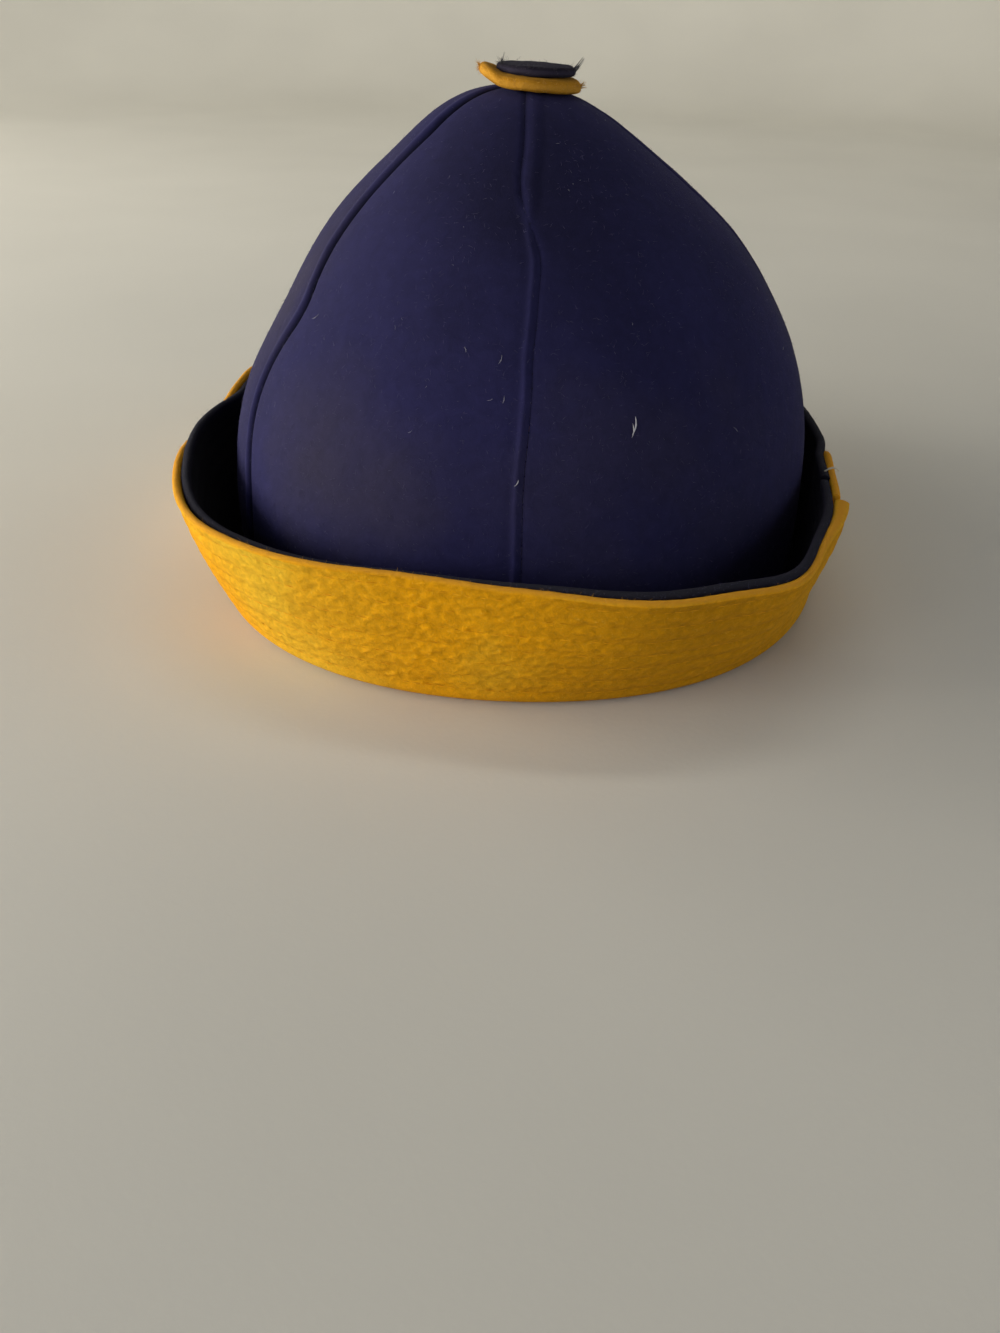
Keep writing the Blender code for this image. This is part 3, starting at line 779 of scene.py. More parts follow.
def brim_point(end_azimuth, share, reach, height, lean):
    """A point of the brim: its ends part towards the top edge, where the ply leans out this far."""
    notch = smooth_step((height - END_NOTCH_FOOT) / (END_NOTCH_TOP - END_NOTCH_FOOT))
    half_gap = (END_HALF_GAP + END_NOTCH_HALF_WIDTH * notch) / (CROWN_HALF_WIDTH + reach)
    azimuth = end_azimuth + half_gap + share * (2.0 * math.pi - 2.0 * half_gap)
    reach += lean * smooth_step((height - END_LIFT_FOOT) / (END_NOTCH_TOP - END_LIFT_FOOT))
    x, y = plan_point(azimuth, reach, 0.0)
    return Vector((x, y, height))


def stitch_row_share(row):
    """How far up the wall a row of stitches runs."""
    return (row + STITCH_GROOVE_SHARE) / STITCH_ROWS


def row_wander(along, row):
    """How far a row of stitches strays from its straight line at a point along it."""
    return ROW_WANDER * noise.noise(Vector((along / ROW_WANDER_LENGTH, row, 4.0)))


def row_pull(crumple):
    """The share of their full depth that the rows pull in, which is less where the felt is crumpled."""
    return 1.15 - 0.95 * crumple


def row_relief(share, wall_length, along, stitch_length, depth):
    """The felt beside the rows of stitches: pulled in along each row, most where the needle went in, so
    that it swells between them."""
    relief = 0.0
    for row in range(STITCH_ROWS):
        away = (share - stitch_row_share(row)) * wall_length
        if abs(away) > ROW_FELT_REACH:
            continue
        away += row_wander(along, row)
        beat = 0.5 + 0.5 * math.cos(2.0 * math.pi * (along / stitch_length + ROW_STAGGER * row))
        relief -= depth * (ROW_GROOVE_SHARE + ROW_GROOVE_BEAT * beat) * bell(away, ROW_GROOVE_REACH)
        relief -= depth * (ROW_HOLLOW_SHARE + ROW_HOLLOW_BEAT * beat) * bell(away, ROW_HOLLOW_REACH)
    return relief


def crumple_at(azimuth):
    """How crumpled the shell's felt is at an azimuth, from its least share to 1."""
    across = angle_between(azimuth, math.radians(CRUMPLE_AZIMUTH_DEG)) / math.radians(CRUMPLE_WIDTH_DEG)
    return CRUMPLE_LEAST + (1.0 - CRUMPLE_LEAST) * math.exp(-across * across)


def crumple_relief(along, height, strength):
    """Relief of felt puckered between rows of stitches: slanting lumps with creases between them."""
    slant = math.radians(CRUMPLE_SLANT_DEG)
    flat = Vector((along, height, 0.0))
    onward, upward = (
        position + CRUMPLE_BEND * noise.noise(flat / CRUMPLE_BEND_LENGTH + Vector(shift))
        for position, shift in zip((along, height), CRUMPLE_BEND_SHIFTS))
    long_way = onward * math.cos(slant) + upward * math.sin(slant)
    short_way = upward * math.cos(slant) - onward * math.sin(slant)
    place = Vector((long_way / CRUMPLE_LONG, short_way / CRUMPLE_SHORT, 0.0))
    lumps = noise.noise(place)
    creases = 1.0 - 2.4 * abs(noise.noise(place * 0.8 + Vector((5.0, 1.0, 2.0))))
    grain = noise.noise(flat / CRUMPLE_GRAIN)
    swells = noise.noise(flat / CRUMPLE_SWELL + Vector((0.0, 0.0, 6.0)))
    return strength * (0.70 * lumps - 0.45 * max(creases, 0.0) ** 3 + 0.30 * grain + 0.35 * swells)


def crown_top_height(x, y):
    """Height of the crown's point at a place under the button."""
    alongs = np.linspace(0.8, 1.0, 60) * CROWN_SIDE
    spreads = [SPREAD_AT(along) for along in alongs]
    heights = [HEIGHT_AT(along) for along in alongs]
    from_point = x - CROWN_ROWS[-1].lean_mm * MM
    spread = math.hypot(from_point / CROWN_HALF_WIDTH, y / CROWN_HALF_DEPTH)
    level = float(np.interp(spread, spreads[::-1], heights[::-1]))
    return level + GORE_PUFF * spread - x * math.tan(math.radians(POINT_TILT_DEG))


def disc_plane(height, tilt_deg=DISC_TILT_DEG):
    """A disc face: tilted down towards +X, and slightly domed."""
    slope = math.tan(math.radians(tilt_deg))
    return lambda x, y: height - slope * x - DISC_DOME * (x * x + y * y) / BASE_DISC_RADIUS ** 2


def rim_curl(x):
    """How far the rim of the lower disc curls up, on its -X side."""
    reach = BASE_DISC_RADIUS - BASE_DISC_CURL_START
    return BASE_DISC_CURL * smooth_step((-x - BASE_DISC_CURL_START) / reach)


def crown_axis():
    """Where the crown's own axis stands in the frame: the frame's origin is the middle of the outline."""
    points = []
    for i in range(360):
        share = i / 359.0
        face = brim_face(math.radians(SHELL_END_AZIMUTH_DEG) + share * 2.0 * math.pi, 0.0)
        reach, height = wall_point(face, 1.0, 0.0)
        points.append(brim_point(math.radians(SHELL_END_AZIMUTH_DEG), share, reach, height, end_lift(share)))
    low = Vector([min(point[i] for point in points) for i in range(3)])
    high = Vector([max(point[i] for point in points) for i in range(3)])
    cad_low, cad_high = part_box("brim_shell")
    middle = 0.5 * (cad_low + cad_high) - 0.5 * (low + high)
    return Vector((middle.x, middle.y, 0.0))


CROWN_AXIS = crown_axis()

# Materials


def fill_inputs(material, node, inputs):
    """Link or set a node's inputs."""
    for socket, value in inputs.items():
        if isinstance(value, bpy.types.NodeSocket):
            material.node_tree.links.new(value, node.inputs[socket])
        else:
            node.inputs[socket].default_value = value


def add_node(material, kind, output, inputs, **settings):
    """Add a node with its settings and links, and give back one of its outputs."""
    made = material.node_tree.nodes.new(kind)
    for name, value in settings.items():
        setattr(made, name, value)
    fill_inputs(material, made, inputs)
    return made.outputs[output]


def per_mm(size_mm):
    """A texture scale that gives features of this size, for coordinates in metres."""
    return 1.0 / (size_mm * MM)


def new_material(name):
    """A material with its shader, and the coordinates that ride on the object."""
    material = bpy.data.materials.new(name)
    material.use_nodes = True
    shader = material.node_tree.nodes["Principled BSDF"]
    return material, shader, add_node(material, "ShaderNodeTexCoord", "Object", {})


def scaled_colour(colour, share):
    """A linear colour made darker or lighter, as a socket takes it."""
    return tuple(min(channel * share, 1.0) for channel in colour) + (1.0,)


# Felts: the shares by which the colour turns darker and lighter, the colour of the rubbed patches and of the
# patches of painted light, of the stray fibres and of the painted highlight on ridges, and of the cut edge,
# the sizes of the patches, knots and fibres, how strongly the felt is mottled, its fine relief, how many
# stray fibres show, its sheen, and how dark the painted shade in its grooves is
CROWN_FELT_LOOK, FACING_LOOK, SHELL_LOOK, GOLD_DISC_LOOK, PURPLE_DISC_LOOK = table(
    "Felt", "dark light worn_hex stray_hex cut_hex patch_mm knot_mm fibre_mm mottling relief_mm stray"
    " sheen groove",
    (0.90, 1.10, "#2e2b3f", "#5c5985", "#2e2c40", 42.0, 3.2, 0.80, 0.10, 0.13, 0.02, 0.14, 0.16),
    (0.88, 1.10, "#17161f", "#5d5b74", "#25252d", 34.0, 3.2, 0.80, 0.10, 0.13, 0.03, 0.06, 0.28),
    (0.93, 1.07, "#e0b52e", "#f4cf62", "#dc9a2a", 36.0, 1.8, 0.62, 0.13, 0.32, 0.12, 0.03, 0.62),
    (0.88, 1.10, "#b8802a", "#f0c060", "#b87f1c", 12.0, 1.6, 0.50, 0.18, 0.20, 0.10, 0.08, 0.50),
    (0.90, 1.10, "#221e28", "#5c5972", "#241f29", 12.0, 1.6, 0.50, 0.14, 0.16, 0.06, 0.10, 0.70),
)


def felt_material(name, colour, look):
    """Wool felt, pressed from tangled fibres: matt, cloudy where the wool took the dye unevenly, in rubbed
    patches and in patches of painted light and shade, faintly mottled where the fibres knot, with a soft
    sheen from the fibres that stand off it. Its cut edge shows the wool inside. Painted shade darkens its
    creases and grooves, and painted light and a painted highlight lighten its ridges."""
    material, shader, place = new_material(name)
    worn_and_lit_colour, stray_and_highlight_colour, cut_colour = (
        linear_colour(code) + (1.0,) for code in (look.worn_hex, look.stray_hex, look.cut_hex))
    clouds, patches, knots, fibres = (
        add_node(material, "ShaderNodeTexNoise", "Fac", {
            "Vector": place, "Scale": per_mm(size_mm), "Detail": detail, "Roughness": roughness,
            "Distortion": distortion})
        for size_mm, detail, roughness, distortion in (
            (look.patch_mm, 3.0, 0.5, 0.0),
            (1.7 * look.patch_mm, 4.0, 0.6, 0.0),
            (look.knot_mm, 4.0, 0.6, 0.6),
            (look.fibre_mm, 3.0, 0.6, 3.0),
        ))
    # The relief attribute carries painted shade for grooves and creases, below 0, and painted light for
    # ridges and lumps, above 0
    wear, cut_edge, depth = (
        add_node(material, "ShaderNodeAttribute", "Fac", {}, attribute_name=attribute)
        for attribute in ("wear", "cut_edge", "relief"))

    # Each is a value, the range that it comes in, and the range that it is carried to
    cloudy, uneven, darker_patches, mottle, stray, painted_ridge_highlight, painted_groove_shade, painted_ridge_light = (
        add_node(material, "ShaderNodeMapRange", "Result", {
            "Value": value, "From Min": from_low, "From Max": from_high, "To Min": low, "To Max": high})
        for value, from_low, from_high, low, high in (
            (clouds, 0.36, 0.66, 0.0, 1.0),
            (patches, 0.40, 0.64, -0.25, 0.45),
            # Darker patches: rubbed felt, and painted shade
            (wear, -1.0, 0.0, 0.55, 1.0),
            (knots, 0.34, 0.66, 1.0 - look.mottling, 1.0 + look.mottling),
            (fibres, 0.58, 0.80, 0.0, 6.0 * look.stray),
            # Painted highlight on ridges, painted shade in grooves, painted light on ridges
            (depth, 0.35, 0.90, 0.0, 0.30),
            (depth, -1.0, 0.0, look.groove, 1.0),
            (depth, 0.0, 1.0, 1.0, 1.32),
        ))
    worn_and_lit = add_node(material, "ShaderNodeMath", "Value", {0: uneven, 1: wear}, operation="ADD")
    mottle, shade = (
        add_node(material, "ShaderNodeMath", "Value", {0: first, 1: second}, operation="MULTIPLY")
        for first, second in ((mottle, darker_patches), (painted_groove_shade, painted_ridge_light)))

    # Each layer covers the tone before it by its share, and the mottle, with the darker patches of rubbed
    # felt and painted shade, darkens it under the stray fibres. After the cut edge come the painted
    # highlight on ridges, and the painted shade of grooves and painted light of ridges, which scale the
    # whole.
    tone = scaled_colour(colour, look.dark)
    for share, over, scale in (
        (cloudy, scaled_colour(colour, look.light), None),
        (worn_and_lit, worn_and_lit_colour, mottle),
        (stray, stray_and_highlight_colour, None),
        (cut_edge, cut_colour, None),
        (painted_ridge_highlight, stray_and_highlight_colour, shade),
    ):
        tone = add_node(
            material, "ShaderNodeMix", 2, {0: share, 6: tone, 7: over}, data_type="RGBA", clamp_factor=True)
        if scale is not None:
            tone = add_node(
                material, "ShaderNodeVectorMath", "Vector", {0: tone, "Scale": scale}, operation="SCALE")

    knotted = add_node(material, "ShaderNodeBump", "Normal", {
        "Height": knots, "Strength": 0.5, "Distance": 2.0 * look.relief_mm * MM})
    relief = add_node(material, "ShaderNodeBump", "Normal", {
        "Height": fibres, "Strength": 0.6, "Distance": look.relief_mm * MM, "Normal": knotted})
    fill_inputs(material, shader, {
        "Base Color": tone, "Normal": relief, "Roughness": 0.94, "IOR": 1.50, "Specular IOR Level": 0.12,
        "Sheen Weight": look.sheen, "Sheen Roughness": 0.45, "Sheen Tint": stray_and_highlight_colour})
    return material


def clouded_material(name, colour, cloud, spread, surface):
    """A material whose colour is clouded: its cloud's size, detail and range, and how far it goes from
    darker to lighter. The rest of its surface is set as given."""
    material, shader, place = new_material(name)
    size_mm, detail, low, high = cloud
    noise_there = add_node(material, "ShaderNodeTexNoise", "Fac", {
        "Vector": place, "Scale": per_mm(size_mm), "Detail": detail})
    share = add_node(material, "ShaderNodeMapRange", "Result", {
        "Value": noise_there, "From Min": low, "From Max": high})
    darker, lighter = (scaled_colour(colour, scale) for scale in spread)
    clouded = add_node(
        material, "ShaderNodeMix", 2, {0: share, 6: darker, 7: lighter}, data_type="RGBA", clamp_factor=True)
    fill_inputs(material, shader, {"Base Color": clouded, **surface})
    return material, shader, place


def thread_material(name, hex_code):
    """Spun cotton thread: two plies twisted together, so that fine slanting bands run along it, with a
    slight gloss from the twist."""
    material, shader, place = clouded_material(
        name, linear_colour(hex_code), (6.0, 2.0, 0.3, 0.7), (0.82, 1.15),
        {"Roughness": 0.75, "Specular IOR Level": 0.15})
    twist = add_node(material, "ShaderNodeTexWave", "Fac", {
        "Vector": place, "Scale": per_mm(2.2), "Distortion": 2.0, "Detail": 2.0}, bands_direction="DIAGONAL")
    fill_inputs(material, shader, {"Normal": add_node(material, "ShaderNodeBump", "Normal", {
        "Height": twist, "Strength": 0.5, "Distance": 0.08 * MM})})
    return material


def fibre_material(name, hex_code):
    """Loose wool: single fibres, set paler than the felt as painted light, for the light that comes through
    them.
    """
    return clouded_material(
        name, linear_colour(hex_code), (1.6, 1.0, 0.35, 0.65), (0.7, 1.3),
        {"Roughness": 0.75, "Specular IOR Level": 0.30, "Sheen Weight": 0.20})[0]


def floor_material(colour):
    """Matt painted board: nearly even, with the faint cloudiness and grain of rolled paint."""
    material, shader, place = clouded_material(
        "matt_painted_board", colour, (180.0, 2.0, 0.3, 0.7), (0.97, 1.03),
        {"Roughness": 0.85, "Specular IOR Level": 0.25})
    grain = add_node(material, "ShaderNodeTexNoise", "Fac", {
        "Vector": place, "Scale": per_mm(1.5), "Detail": 3.0})
    fill_inputs(material, shader, {"Normal": add_node(material, "ShaderNodeBump", "Normal", {
        "Height": grain, "Strength": 0.2, "Distance": 0.15 * MM})})
    return material


# Meshes


def place_piece(name, mesh, material, replaced=()):
    """Put a finished mesh on the hat's body, with its material and the CAD nodes that it stands for."""
    mesh.transform(Matrix.Translation(CROWN_AXIS))
    mesh.materials.append(material)
    mesh.shade_smooth()
    mesh.set_sharp_from_angle(angle=math.radians(SMOOTH_ANGLE_DEG))
    piece = bpy.data.objects.new(name, mesh)
    bpy.context.scene.collection.objects.link(piece)
    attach(piece, "root")
    if replaced:
        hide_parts(*replaced)


# A point of a felt's loop: how much of it is cut edge, its painted shade for grooves and creases, below 0,
# and painted light for ridges and lumps, above 0, and its rubbed patches and patches of painted light and
# shade
FeltPoint = namedtuple("FeltPoint", "place cut_edge relief wear", defaults=(0.0, 0.0, 0.0))


def lofted_felt(name, loops):
    """A closed felt body lofted through loops of felt points, with a face across each end."""
    size = len(loops[0])
    points = [point for loop in loops for point in loop]
    quads = []
    for row in range(len(loops) - 1):
        for i in range(size):
            after = (i + 1) % size
            low, high = row * size, (row + 1) * size
            quads.append((low + i, low + after, high + after, high + i))
    last = (len(loops) - 1) * size
    caps = [tuple(range(size))[::-1], tuple(range(last, last + size))]
    mesh = bpy.data.meshes.new(name)
    mesh.from_pydata([point.place for point in points], [], quads + caps)
    for attribute in ("cut_edge", "relief", "wear"):
        values = mesh.attributes.new(attribute, "FLOAT", "POINT")
        values.data.foreach_set("value", [getattr(point, attribute) for point in points])
    built = bmesh.new()
    built.from_mesh(mesh)
    ends = [face for face in built.faces if len(face.verts) > 4]
    bmesh.ops.triangulate(built, faces=ends, ngon_method="EAR_CLIP")
    bmesh.ops.recalc_face_normals(built, faces=built.faces)
    built.to_mesh(mesh)
    built.free()
    return mesh


class ThreadBundle:
    """Collects many thin round strands, and joins them in one mesh."""

    def __init__(self):
        self.places = []
        self.faces = []

    def add(self, path, thicknesses, sides):
        """A strand along a path of points, closed at both ends."""
        start = len(self.places)
        for i, point in enumerate(path):
            ahead = path[min(i + 1, len(path) - 1)] - path[max(i - 1, 0)]
            across = ahead.orthogonal().normalized()
            other = ahead.cross(across).normalized()
            for side in range(sides):
                turn = 2.0 * math.pi * side / sides
                spoke = across * math.cos(turn) + other * math.sin(turn)
                self.places.append(point + spoke * (0.5 * thicknesses[i]))
        for i in range(len(path) - 1):
            for side in range(sides):
                after = (side + 1) % sides
                low = start + i * sides
                self.faces.append((low + side, low + after, low + sides + after, low + sides + side))
        end = start + (len(path) - 1) * sides
        self.faces.append(tuple(range(start, start + sides))[::-1])
        self.faces.append(tuple(range(end, end + sides)))

    def add_stitch(self, first, last, outward, bow, thickness):
        """A stitch between two needle holes: it dives into the felt at both ends and bows between them."""
        path = []
        for share, lift in ((0.0, -1.0), (0.12, 0.1), (0.5, 1.0), (0.88, 0.1), (1.0, -1.0)):
            path.append(first.lerp(last, share) + outward * (bow * lift))
        self.add(path, [thickness] * len(path), THREAD_SIDES)

    def add_fibre(self, path, thickness, sides):
        """A wool fibre that thins out towards its tip."""
        steps = len(path) - 1
        self.add(path, [thickness * (1.0 - 0.8 * i / steps) for i in range(steps + 1)], sides)

    def place(self, name, material, slot):
        """Join the strands in one mesh, and put it on the hat's body."""
        made = bpy.data.meshes.new(name)
        made.from_pydata(self.places, [], self.faces)
        place_piece(name, made, material)


def fibre_path(start, direction, length, curl, steps, chance):
    """A wool fibre: it leaves in a direction and bends more and more to one side."""
    side = direction.orthogonal().normalized()
    side.rotate(Matrix.Rotation(chance.uniform(0.0, 2.0 * math.pi), 3, direction))
    path = []
    for i in range(steps + 1):
        share = i / steps
        path.append(start + direction * (length * share) + side * (curl * length * share * share))
    return path


def crown_wear_and_light(place, ring):
    """The crown's rubbed patches, and its patches of painted light and shade, at a point of a level."""
    azimuth = math.degrees(math.atan2(place.x - ring.lean, -place.y))
    wear = 0.0
    for row in WEAR_AND_LIGHT_ROWS:
        across = ((azimuth - row.azimuth_deg + 180.0) % 360.0 - 180.0) / row.wide_deg
        up = (ring.along / CROWN_SIDE - row.share) / row.tall
        wear += row.strength * math.exp(-across * across - up * up)
    return wear


def make_gore(number, material, sizes):
    """One gore of the crown: an uneven felt panel, its edges rolled into its two seams. Its levels lie
    closer together towards the point."""
    seams = crown_ring(0.0).seams
    middle = seams[number]
    middle += 0.5 * ((seams[(number + 1) % len(SEAM_ROWS)] - middle) % (2.0 * math.pi))
    outer_foot, inner_foot = (crown_foot_along(middle, depth) for depth in (0.0, CROWN_FELT))
    loops = []
    for i in range(CROWN_LEVELS + 1):
        level = (i / CROWN_LEVELS) ** LEVEL_CROWDING
        outer_along, inner_along = (foot + (CROWN_SIDE - foot) * level for foot in (outer_foot, inner_foot))
        outer = gore_face(number, outer_along, 0.0, SEAM_STRIPS, GORE_MIDDLE_STRIPS, sizes.crown_relief)
        inner = gore_face(number, inner_along, CROWN_FELT, SEAM_INSIDE_STRIPS, GORE_INSIDE_STRIPS, 0.0)
        loop = []
        ring = crown_ring(outer_along)
        for j, place in enumerate(outer):
            from_end = j >= len(outer) // 2
            beside = (j - len(outer) + 1 if from_end else j) * SEAM_STRIP_WIDTH
            section = ring.sections[(number + from_end) % len(SEAM_ROWS)]
            # Painted shade in the seam's groove, painted light on its welt, and the rubbed patches and
            # patches of painted light and shade, cut back beside the seams
            wear = crown_wear_and_light(place, ring) * (1.0 - SEAM_PATCH_CUT * bell(beside, SEAM_PATCH_REACH))
            loop.append(FeltPoint(place, 0.0, seam_tone(beside, section), wear))
        loops.append(loop + [FeltPoint(place) for place in reversed(inner)])
    name = f"felt_gore_{number + 1}"
    place_piece(name, lofted_felt(name, loops), material, [f"crown_gore_{number + 1}"])


def seam_place(number, along, depth):
    """A point in a seam of the crown, this deep under the felt beside it, and the way the seam faces."""
    ring = crown_ring(along)
    azimuth = ring.seams[number]
    return crown_point(ring, azimuth, depth), crown_normal(ring, azimuth)


def make_seam_threads(material, sizes):
    """Small stitches that cross the crown's seams deep in their grooves."""
    threads = ThreadBundle()
    for number in range(len(SEAM_ROWS)):
        for i in range(int(0.90 * CROWN_SIDE / sizes.seam_stitch_length)):
            along = 0.05 * CROWN_SIDE + i * sizes.seam_stitch_length
            place, outward = seam_place(number, along, SEAM_THREAD_DEPTH)
            ahead, _ = seam_place(number, along + 0.5 * sizes.seam_stitch_length, SEAM_THREAD_DEPTH)
            up = (ahead - place).normalized()
            across = up.cross(outward).normalized() * SEAM_STITCH_REACH
            slant = up * SEAM_STITCH_SLANT
            threads.add_stitch(
                place - across - slant, place + across + slant, outward, SEAM_STITCH_BOW,
                sizes.seam_thickness)
    threads.place("seam_threads", material, "purple_wool_felt")


def make_seam_allowances(material):
    """Inside the crown, the felt turned in at each seam: two narrow flaps pressed to one side."""
    for number, seam in enumerate(SEAM_ROWS):
        side = math.copysign(1.0, seam.upper.welt_at_mm)
        loops = []
        for i in range(ALLOWANCE_LEVELS + 1):
            along = (0.07 + 0.83 * i / ALLOWANCE_LEVELS) * CROWN_SIDE
            ring = crown_ring(along)
            radius = ring.spread * CROWN_MEAN_RADIUS
            wide = ALLOWANCE_WIDTH * smooth_step(radius / RELIEF_FADE_RADIUS)
            loop = []
            for across, deep_mm in ALLOWANCE_OUTLINE:
                edge = noise.noise(Vector((along / ALLOWANCE_WAVE, number, across))) * ALLOWANCE_WOBBLE
                aside = ALLOWANCE_INSET + across * wide + edge * across
                azimuth = ring.seams[number] + side * aside / radius
                place = crown_point(ring, azimuth, CROWN_FELT + deep_mm * MM)
                loop.append(FeltPoint(place, 1.0 if across == 1.0 else 0.0))
            loops.append(loop)
        name = f"seam_allowance_{number + 1}"
        place_piece(name, lofted_felt(name, loops), material)


def edge_points(end, share, outer, inner, top_share, seed, leans):
    """The rounded and slightly ragged cut edge between a ply's outer and inner face."""
    outer_top = Vector(wall_point(outer, top_share, 0.0))
    inner_top = Vector(wall_point(inner, top_share, 0.0))
    up = Vector((math.sin(outer.flare), math.cos(outer.flare)))
    along = share * GIRTH
    points = []
    for i in range(1, EDGE_STEPS):
        turn = math.pi * i / EDGE_STEPS
        across = 0.5 - 0.5 * math.cos(turn)
        place = Vector((along / EDGE_ROUGHNESS_LENGTH, across * 2.0, seed))
        rough = EDGE_ROUGHNESS * noise.noise(place)
        reach, height = outer_top.lerp(inner_top, across) + up * (EDGE_ROUNDING * math.sin(turn) + rough)
        lean = leans[0] + (leans[1] - leans[0]) * across
        points.append(FeltPoint(brim_point(end, share, reach, height, lean), math.sin(turn) ** 2))
    return points


def edge_share(face, azimuth, share, drop_at, seed):
    """How far up its wall a ply's rounded edge starts, below the ragged line that it was cut along."""
    along = share * GIRTH
    wobble = EDGE_WOBBLE * (1.0 + noise.noise(Vector((along / EDGE_WAVE_LENGTH, 0.0, seed))))
    wobble += 0.5 * EDGE_WOBBLE * noise.noise(Vector((along / EDGE_NICK_LENGTH, 0.0, seed)))
    return 1.0 - (max(drop_at(azimuth), 0.0) * MM + wobble + EDGE_ROUNDING) / face.length


def shell_loop(share, sizes):
    """One loop round the shell's felt at a station: its stitched face, its cut edge, its hidden face."""
    end = math.radians(SHELL_END_AZIMUTH_DEG)
    azimuth = end + share * 2.0 * math.pi
    outer = brim_face(azimuth, 0.0)
    inner = brim_face(azimuth, SHELL_FELT)
    along = share * GIRTH
    crumple = crumple_at(azimuth)
    row_depth = sizes.row_depth * row_pull(crumple)
    top_share = edge_share(outer, azimuth, share, SHELL_DROP_AT, 3.0)
    lean, inner_lean = shell_leans(share)
    # Painted light and shade round the brim
    wear = SHELL_LIGHT_AT(azimuth)
    loop = [FeltPoint(brim_point(end, share, *place, lean), 0.0, 0.0, wear) for place in outer.fold]
    for i in range(1, SHELL_WALL_STEPS + 1):
        wall_share = top_share * i / SHELL_WALL_STEPS
        rows = row_relief(wall_share, outer.length, along, sizes.stitch_length, row_depth)
        fade = smooth_step(wall_share / 0.06)
        lumps = fade * crumple_relief(along, wall_share * outer.length, sizes.brim_relief * crumple)
        place = brim_point(end, share, *wall_point(outer, wall_share, rows + lumps), lean)
        # Painted shade in the creases and the rows of stitches, painted light on the lumps
        tone = lumps / LUMP_TONE_DEPTH + rows / ROW_TONE_DEPTH + SHELL_TONE_LIFT
        loop.append(FeltPoint(place, 0.0, min(max(tone, -1.0), 1.0), wear))
    loop += edge_points(end, share, outer, inner, top_share, 8.0, (lean, inner_lean))
    for i in range(HIDDEN_WALL_STEPS):
        wall_share = top_share * (1.0 - i / HIDDEN_WALL_STEPS)
        loop.append(FeltPoint(brim_point(end, share, *wall_point(inner, wall_share, 0.0), inner_lean)))
    return loop + [FeltPoint(brim_point(end, share, *place, inner_lean)) for place in reversed(inner.fold)]


def facing_loop(share, sizes):
    """One loop round the facing's felt at a station: its hidden face, its cut edge, its inner face, which is
    darkened with painted shade away from its edge, down into the gutter."""
    end = math.radians(FACING_END_AZIMUTH_DEG)
    azimuth = end + share * 2.0 * math.pi
    outer = brim_face(azimuth, SHELL_FELT + FIT_GAP)
    inner = brim_face(azimuth, PLY_STACK)
    along = share * GIRTH
    top_share = edge_share(outer, azimuth, share, FACING_DROP_AT, 6.0)
    lean = max(FACING_LEAN_AT(azimuth), 0.0) * MM
    loop = [FeltPoint(brim_point(end, share, *place, lean)) for place in outer.fold]
    for i in range(1, HIDDEN_WALL_STEPS + 1):
        place = brim_point(end, share, *wall_point(outer, top_share * i / HIDDEN_WALL_STEPS, 0.0), lean)
        loop.append(FeltPoint(place))
    loop += edge_points(end, share, outer, inner, top_share, 1.0, (lean, lean))
    for i in range(FACING_WALL_STEPS):
        wall_share = top_share * (1.0 - i / FACING_WALL_STEPS)
        plain = brim_point(end, share, *wall_point(inner, wall_share, 0.0), lean)
        rows = row_relief(wall_share, inner.length, along, sizes.stitch_length, 0.5 * sizes.row_depth)
        fade = smooth_step(wall_share / 0.08) * smooth_step((1.0 - wall_share) / 0.05)
        relief = -rows * fade - felt_unevenness(plain, FACING_UNEVENNESS) * fade
        place = brim_point(end, share, *wall_point(inner, wall_share, relief), lean)
        # Painted shade: the inner face darkens away from its edge, down into the gutter
        loop.append(FeltPoint(place, 0.0, -smooth_step((top_share - wall_share) / 0.07)))
    # Painted shade in full over the fold
    for place in reversed(inner.fold):
        loop.append(FeltPoint(brim_point(end, share, *place, lean), 0.0, -1.0))
    return loop


def stations(count):
    """Shares of the way round the brim, closer together at its two ends."""
    near = [0.0, 0.0004, 0.0010]
    inner = 1.0 - 2.0 * near[-1]
    middle = [near[-1] + inner * i / count for i in range(1, count)]
    return near + middle + [1.0 - share for share in reversed(near)]


def needle_hole(row, along, sizes):
    """A needle's hole in the shell: its row, and how many stitches along the row it lies."""
    end = math.radians(SHELL_END_AZIMUTH_DEG)
    share = (along - ROW_STAGGER * row % 1.0) * sizes.stitch_length / GIRTH
    share = min(max(share, 0.001), 0.999)
    azimuth = end + share * 2.0 * math.pi
    crumple = crumple_at(azimuth)
    face = brim_face(azimuth, 0.0)
    wall_share = stitch_row_share(row) - row_wander(share * GIRTH, row) / face.length
    relief = crumple_relief(share * GIRTH, wall_share * face.length, sizes.brim_relief * crumple)
    relief -= 1.05 * sizes.row_depth * row_pull(crumple) + STITCH_SINK
    return brim_point(end, share, *wall_point(face, wall_share, relief), end_lift(share))


def make_brim_stitches(material, sizes):
    """The machine stitches of the shell's rows: each lies in its row's groove, from hole to hole."""
    threads = ThreadBundle()
    for row in range(STITCH_ROWS):
        for i in range(int(GIRTH / sizes.stitch_length) - 1):
            first, last = (needle_hole(row, i + part, sizes) for part in (0.06, 0.94))
            outward = Vector((first.x, first.y, 0.0)).normalized()
            threads.add_stitch(first, last, outward, STITCH_BOW, sizes.stitch_thickness)
    threads.place("brim_stitches", material, "gold_wool_felt")


